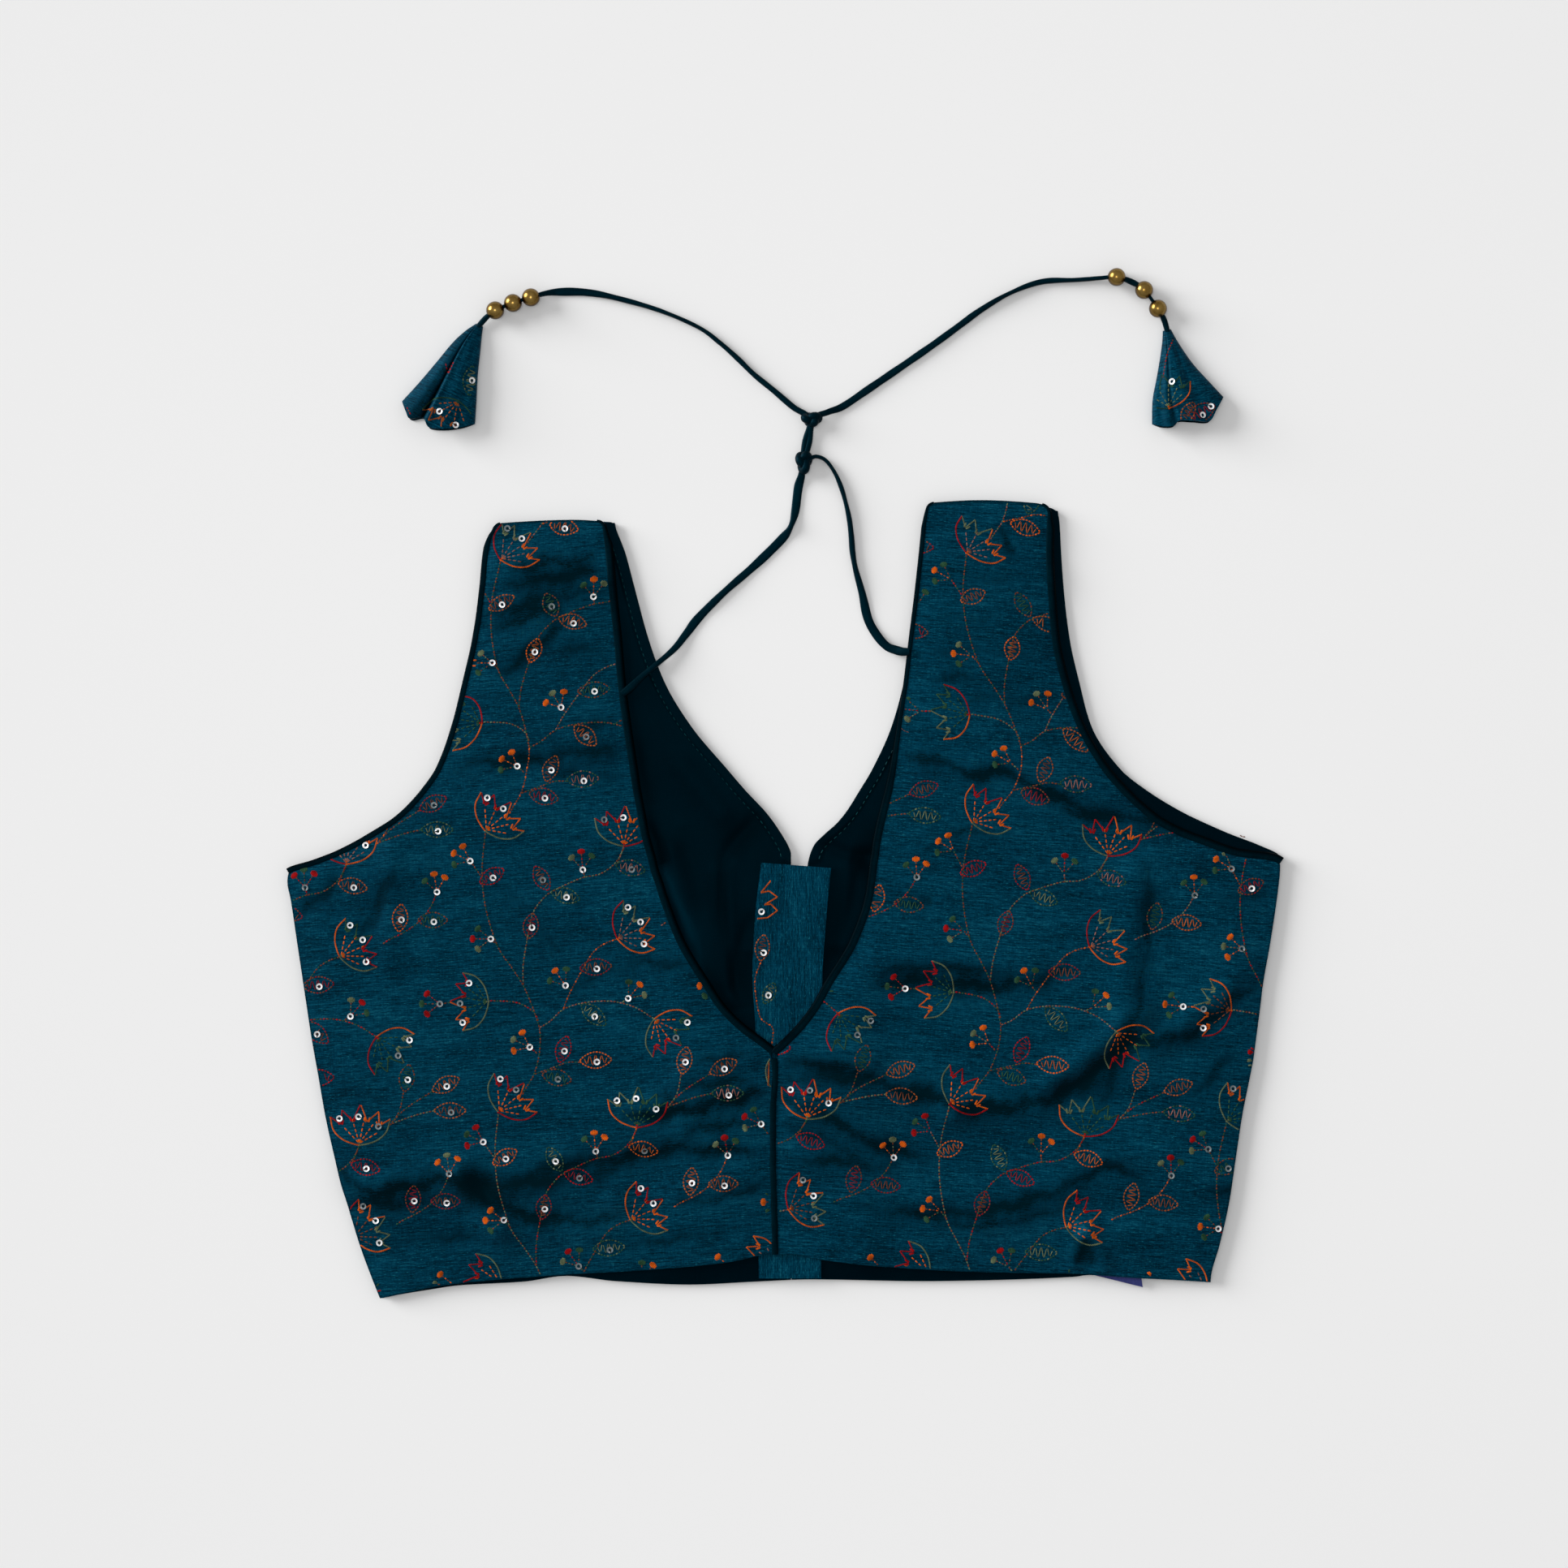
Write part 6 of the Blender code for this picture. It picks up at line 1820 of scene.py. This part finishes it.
FACING_STITCH = 4.5
for side, sign in (("left", 1), ("right", -1)):
    inner, _ = front_edges(side, 0.0)
    heights = np.linspace(19.0, 170.0, 220)
    neck = np.column_stack([inner(heights), heights])
    line = neck + outward(neck, sign) * FACING_STITCH
    machine_line(f"facing_stitches_{side}", line, lining_top(side), 3.0, 2.0)

# %% [markdown]
# ## The tassels
#
# Each tassel is a square of the embroidered cloth, folded into a cone round the end of its dori and
# pressed flat, with a lengthwise fold on top and a mouth that shows the corners of the square. Its
# surface has two parameters: the share of the way from the tip to the mouth, and the turn round the
# cone. The same surface, a little smaller, is its inside.

# %% The tassels' measures
TASSEL_TIPS = {"left": ((-141.6, 265.8), (-0.379, -0.926)), "right": ((176.8, 263.4), (0.224, -0.975))}
TASSEL_SIDES_AT = {
    "left": (
        (0.0, -1.6, 2.0, 1.7), (0.1, -4.6, 3.2, 2.6), (0.25, -7.8, 5.2, 3.6),
        (0.5, -11.4, 8.4, 4.4), (0.75, -15.1, 12.2, 4.9), (1.0, -19.3, 15.9, 5.1),
    ),
    "right": (
        (0.0, -1.8, 2.0, 1.7), (0.1, -3.0, 2.9, 2.6), (0.25, -5.3, 4.6, 3.6),
        (0.5, -9.6, 8.2, 4.4), (0.75, -14.0, 13.2, 4.9), (1.0, -16.6, 18.4, 5.1),
    ),
}
TASSEL_MOUTHS = {
    "left": (
        (-19.3, 46.3), (-15.7, 50.0), (-12.6, 52.6), (-7.1, 49.8), (-2.7, 53.0),
        (2.3, 51.7), (10.4, 47.5), (15.9, 43.2),
    ),
    "right": (
        (-16.6, 41.0), (-12.0, 43.5), (-7.7, 44.4), (-4.8, 42.6), (2.0, 44.2),
        (8.8, 46.0), (14.0, 41.0), (18.4, 36.2),
    ),
}
# Each pleat: its place across the mouth, its width there, its height. The first is the fold with painted
# shade.
TASSEL_PLEATS = {
    "left": ((-7.6, 1.2, -2.6), (-5.0, 1.6, 1.0), (-13.5, 2.4, 0.4), (3.0, 3.0, 0.45), (9.5, 2.2, -0.6)),
    "right": ((-6.4, 1.6, -1.0), (-9.2, 1.8, 0.5), (2.5, 3.0, 0.5), (9.0, 2.2, -0.6), (-12.8, 1.6, -0.5)),
}
TASSEL_FLAT = 0.35
TASSEL_LIFT = 0.1
TASSEL_WALL = 0.7
DEEPEST_FOLD = 2.6


def tassel_measures(side):
    """The tip, the way down from it, and by columns the rows of the sides and of the mouth."""
    tip, way = (np.array(part) for part in TASSEL_TIPS[side])
    return tip, way, np.array(TASSEL_SIDES_AT[side], float).T, np.array(TASSEL_MOUTHS[side], float).T


def pleats(side, mouth, upper, share):
    """The rise of the pleats: bells across the mouth that grow from the tip, on the upper side alone."""
    return [
        height * upper * share**0.8 * bell(mouth - place, width)
        for place, width, height in TASSEL_PLEATS[side]
    ]


def tassel_rings(side, shares, turns, shrink=0.0):
    """Points by share of the way down and turn round: a half-oval crown over a flat underside, whose
    mouth reaches as far as its corners do, with pleats that run from the tip. shrink is how far inside."""
    tip, way, (known, left, right, half), (at, reach) = tassel_measures(side)
    round_ = np.cos(turns)[None, :]
    share = shares[:, None]
    mouth = left[-1] + (right[-1] - left[-1]) * (1 + round_) / 2
    left, right, half = (smooth_through(share, known, column) for column in (left, right, half))
    lateral = left + shrink + (right - left - 2 * shrink) * (1 + round_) / 2
    flat = TASSEL_FLAT * half
    z = np.maximum(half * (1 + np.sin(turns)[None, :]), flat) - flat + TASSEL_LIFT
    upper = clamped(np.sin(turns)[None, :] * 2.5)
    z = sum(pleats(side, mouth, upper, share), z)
    top = half * 2 - flat
    z = shrink + TASSEL_LIFT + (z - TASSEL_LIFT) * (1 - 2 * shrink / top) if shrink else z
    across = np.array([-way[1], way[0]])
    along = share * smooth_through(mouth, at, reach)
    plan = tip + along[..., None] * way + lateral[..., None] * across
    grain = np.stack([lateral + 30.0 * np.sin(turns)[None, :].clip(-1, 0), along], axis=-1)
    # Painted shade along the deep fold, and in a wider band beside it.
    fold, wide, rise = TASSEL_PLEATS[side][0]
    deep = rise / -DEEPEST_FOLD
    dark = 0.9 * deep * upper * share**0.5 * bell(mouth - fold, 0.8 * wide)
    beside = 0.45 * deep * upper * share**0.5 * bell(mouth - fold + 3.5, 3.5)
    return points_of(plan[..., 0], plan[..., 1], z), grain, np.maximum(dark, beside)


def tassel(side):
    """A closed wall: the outside from tip to mouth, then the inside back up, closed across at both ends."""
    turns = np.linspace(0, 2 * np.pi, 144, endpoint=False)
    outside, grain_out, dark = tassel_rings(side, np.linspace(0, 1, 56), turns)
    inside, grain_in, _ = tassel_rings(side, np.linspace(1, 0.22, 24), turns, TASSEL_WALL)
    points = np.concatenate([outside, inside])
    grain = np.concatenate([grain_out, grain_in])
    # Painted shade over the whole inside.
    dark = np.concatenate([dark, np.full(inside.shape[:2], 0.6)])
    marks = {"crease": dark, "dark_edge_and_shade": np.zeros_like(dark)}
    faces = tube_faces(*points.shape[:2])
    return add_piece(
        f"tassel_{side}_cloth", points, faces, TEAL_SLUB, (f"tassel_{side}",),
        grain=grain, marks=marks,
    )


def tassel_top(side):
    """The tassel's upper face as a function of x and y, from the same crown and pleats."""
    tip, way, (known, left, right, half), (at, reach) = tassel_measures(side)

    def height(x, y):
        along = (x - tip[0]) * way[0] + (y - tip[1]) * way[1]
        lateral = -(x - tip[0]) * way[1] + (y - tip[1]) * way[0]
        share = clamped(along / reach.mean())
        for _ in range(4):
            low, high = (smooth_through(share, known, column) for column in (left, right))
            place = clamped((lateral - low) / (high - low))
            mouth = left[-1] + (right[-1] - left[-1]) * place
            share = clamped(along / smooth_through(mouth, at, reach))
        crown = smooth_through(share, known, half)
        cosine = 2 * place - 1
        sine = np.sqrt(clamped(1 - cosine**2))
        z = crown * (1 + sine) - TASSEL_FLAT * crown + TASSEL_LIFT
        upper = clamped(sine * 2.5)
        return sum(pleats(side, mouth, upper, share), z)

    return height


tassels = {side: tassel(side) for side in TASSEL_TIPS}

# %% Embroidery on the tassels
TASSEL_STEM = ((179.6, 259.0), (176.4, 251.0), (174.6, 240.6))
TASSEL_MOTIFS = {
    "left": (
        (flower(8), -150.6, 230.0, -118, 0.95),
        (leaf(2, 14.0, 7.0), -145.0, 239.5, 84, 1.0),
        (run(((-156.6, 247.6), (-155.4, 242.6)), 1.5, 0.7, ("red",)), 0, 0, 0, 1.0),
        (run(((-155.4, 242.6), (-152.8, 248.2)), 1.5, 1.0, ("red",)), 0, 0, 0, 1.0),
        (run(((-150.2, 260.6), (-147.6, 263.4)), 1.4, 1.0, ("orange", "copper")), 0, 0, 0, 1.0),
        (run(((-151.0, 264.2), (-146.4, 265.6)), 1.4, 1.1, ("orange",)), 0, 0, 0, 1.0),
        (run(((-174.6, 227.4), (-172.6, 223.6)), 1.4, 0.8, ("red", "copper")), 0, 0, 0, 1.0),
    ),
    "right": (
        (flower(7), 177.2, 226.6, 100, 0.9),
        (run(curved(TASSEL_STEM), 1.5, 0.75, ("copper", "red")), 0, 0, 0, 1.0),
        (leaf(7, 15.0, 8.0), 192.0, 224.6, 28, 1.0),
        (leaf(3, 11.0, 6.0), 186.0, 224.6, 60, 1.0),
    ),
}
TASSEL_RINGS = {
    "left": ((-159.2, 225.0), (-152.0, 218.9), (-144.6, 239.6)),
    "right": ((178.7, 238.9), (196.6, 227.4), (192.6, 223.4)),
}
TASSEL_MARGIN = 1.2
MOUTH_MARGIN = 0.9
for side, motifs in TASSEL_MOTIFS.items():
    stitches = np.vstack([placed(motif, *values) for motif, *values in motifs])
    tip, way, (known, left, right, _), (at, reach) = tassel_measures(side)
    from_tip = stitches[:, :2] - tip
    along = from_tip @ way
    lateral = from_tip @ np.array([-way[1], way[0]])
    share = clamped(along / smooth_through(lateral, at, reach))
    inside = lateral > smooth_through(share, known, left) + TASSEL_MARGIN
    inside &= lateral < smooth_through(share, known, right) - TASSEL_MARGIN
    inside &= along < smooth_through(lateral, at, reach) - MOUTH_MARGIN
    embroidery["tassel_" + side] = sew(f"tassel_{side}_thread", stitches[inside], tassel_top(side))
    rings = np.array(TASSEL_RINGS[side])
    embroidery["tassel_" + side] += sew_rings(f"tassel_{side}_sequins", rings, tassel_top(side), 0.0)

# %% [markdown]
# ## The dori and what is on them
#
# The dori are limp cords. For each, the pieces that are on it are gathered, and its whole length is
# worked out.

# %% The dori's pieces and length
for hand, piece, line in (("left", left_dori, left_line), ("right", right_dori, right_line)):
    on_it = [beads[f"{hand}_{number}"] for number in (1, 2, 3)] + [tassels[hand]]
    on_it += embroidery["tassel_" + hand]
    if hand == "left":
        on_it += list(knots.values())
    so_far(line)[-1] * MM

# %% [markdown]
# ## Floor and light
#
# A plain pale floor, a bright even sky, and one wide soft light that comes in low from the left. It
# gives the long soft shadow on the right of everything that lies on the floor, and a little below it.
# A small lamp overhead gives the beads and the sequins their highlights.

# %% Floor
FLOOR_SIZE = 3000.0
FLOOR_COLOUR = (0.90, 0.90, 0.90)


def add_floor():
    """A plain pale plane under everything."""
    finish, tree, shader = new_finish("pale_floor", 0.9, specular=0.1)
    place = own_place(tree)
    tone = ramp(tree, streaks(tree, place, (3.0,) * 3), (
        (0.4, tuple(0.998 * part for part in FLOOR_COLOUR)), (0.6, FLOOR_COLOUR),
    ))
    tree.links.new(tone, shader.inputs["Base Color"])
    half = FLOOR_SIZE / 2 * MM
    mesh = bpy.data.meshes.new("floor")
    square = [(-half, -half, 0), (half, -half, 0), (half, half, 0), (-half, half, 0)]
    mesh.from_pydata(square, [], [(0, 1, 2, 3)])
    mesh.materials.append(finish)
    put("floor", mesh)


add_floor()

# %% Lights
SKY = 0.437
KEY = 0.364
KEY_SLANT = math.radians(72.5)
KEY_BEARING = math.radians(68.0)
KEY_SOFT = math.radians(34.0)
OVERHEAD = 0.15
OVERHEAD_PLACE = (-0.10, 0.14, 1.6)
OVERHEAD_SIZE = 0.5


def add_lights():
    """An even sky, a wide, low and far lamp from the left, and a small one overhead for the highlights.
    The far lamp's strength is what gives the wanted share of light on the floor:
    strength = share x pi / cosine of its slant."""
    world = bpy.data.worlds.new("sky")
    world.use_nodes = True
    sky = world.node_tree.nodes["Background"].inputs
    sky["Color"].default_value = (1.0, 1.0, 1.0, 1.0)
    sky["Strength"].default_value = SKY
    bpy.context.scene.world = world
    data = bpy.data.lights.new("key", "SUN")
    data.angle = KEY_SOFT
    data.energy = KEY * math.pi / math.cos(KEY_SLANT)
    put("key", data).rotation_euler = (-KEY_SLANT, 0.0, KEY_BEARING)
    print("key light strength:", round(data.energy, 2))
    data = bpy.data.lights.new("overhead", "AREA")
    data.shape = "DISK"
    data.size = OVERHEAD_SIZE
    data.energy = OVERHEAD * math.pi**2 * math.dist(OVERHEAD_PLACE, (0, 0, 0)) ** 2
    put("overhead", data).location = OVERHEAD_PLACE
    print("overhead light power in watts:", round(data.energy, 1))


add_lights()
bpy.context.scene.view_settings.view_transform = "Standard"

# %% Sizes, and the end
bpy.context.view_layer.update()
triangles = sum(
    sum(len(face.vertices) - 2 for face in piece.data.polygons)
    for piece in bpy.context.scene.objects if piece.type == "MESH" and "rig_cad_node" not in piece
)
print("triangles that the script adds:", triangles)
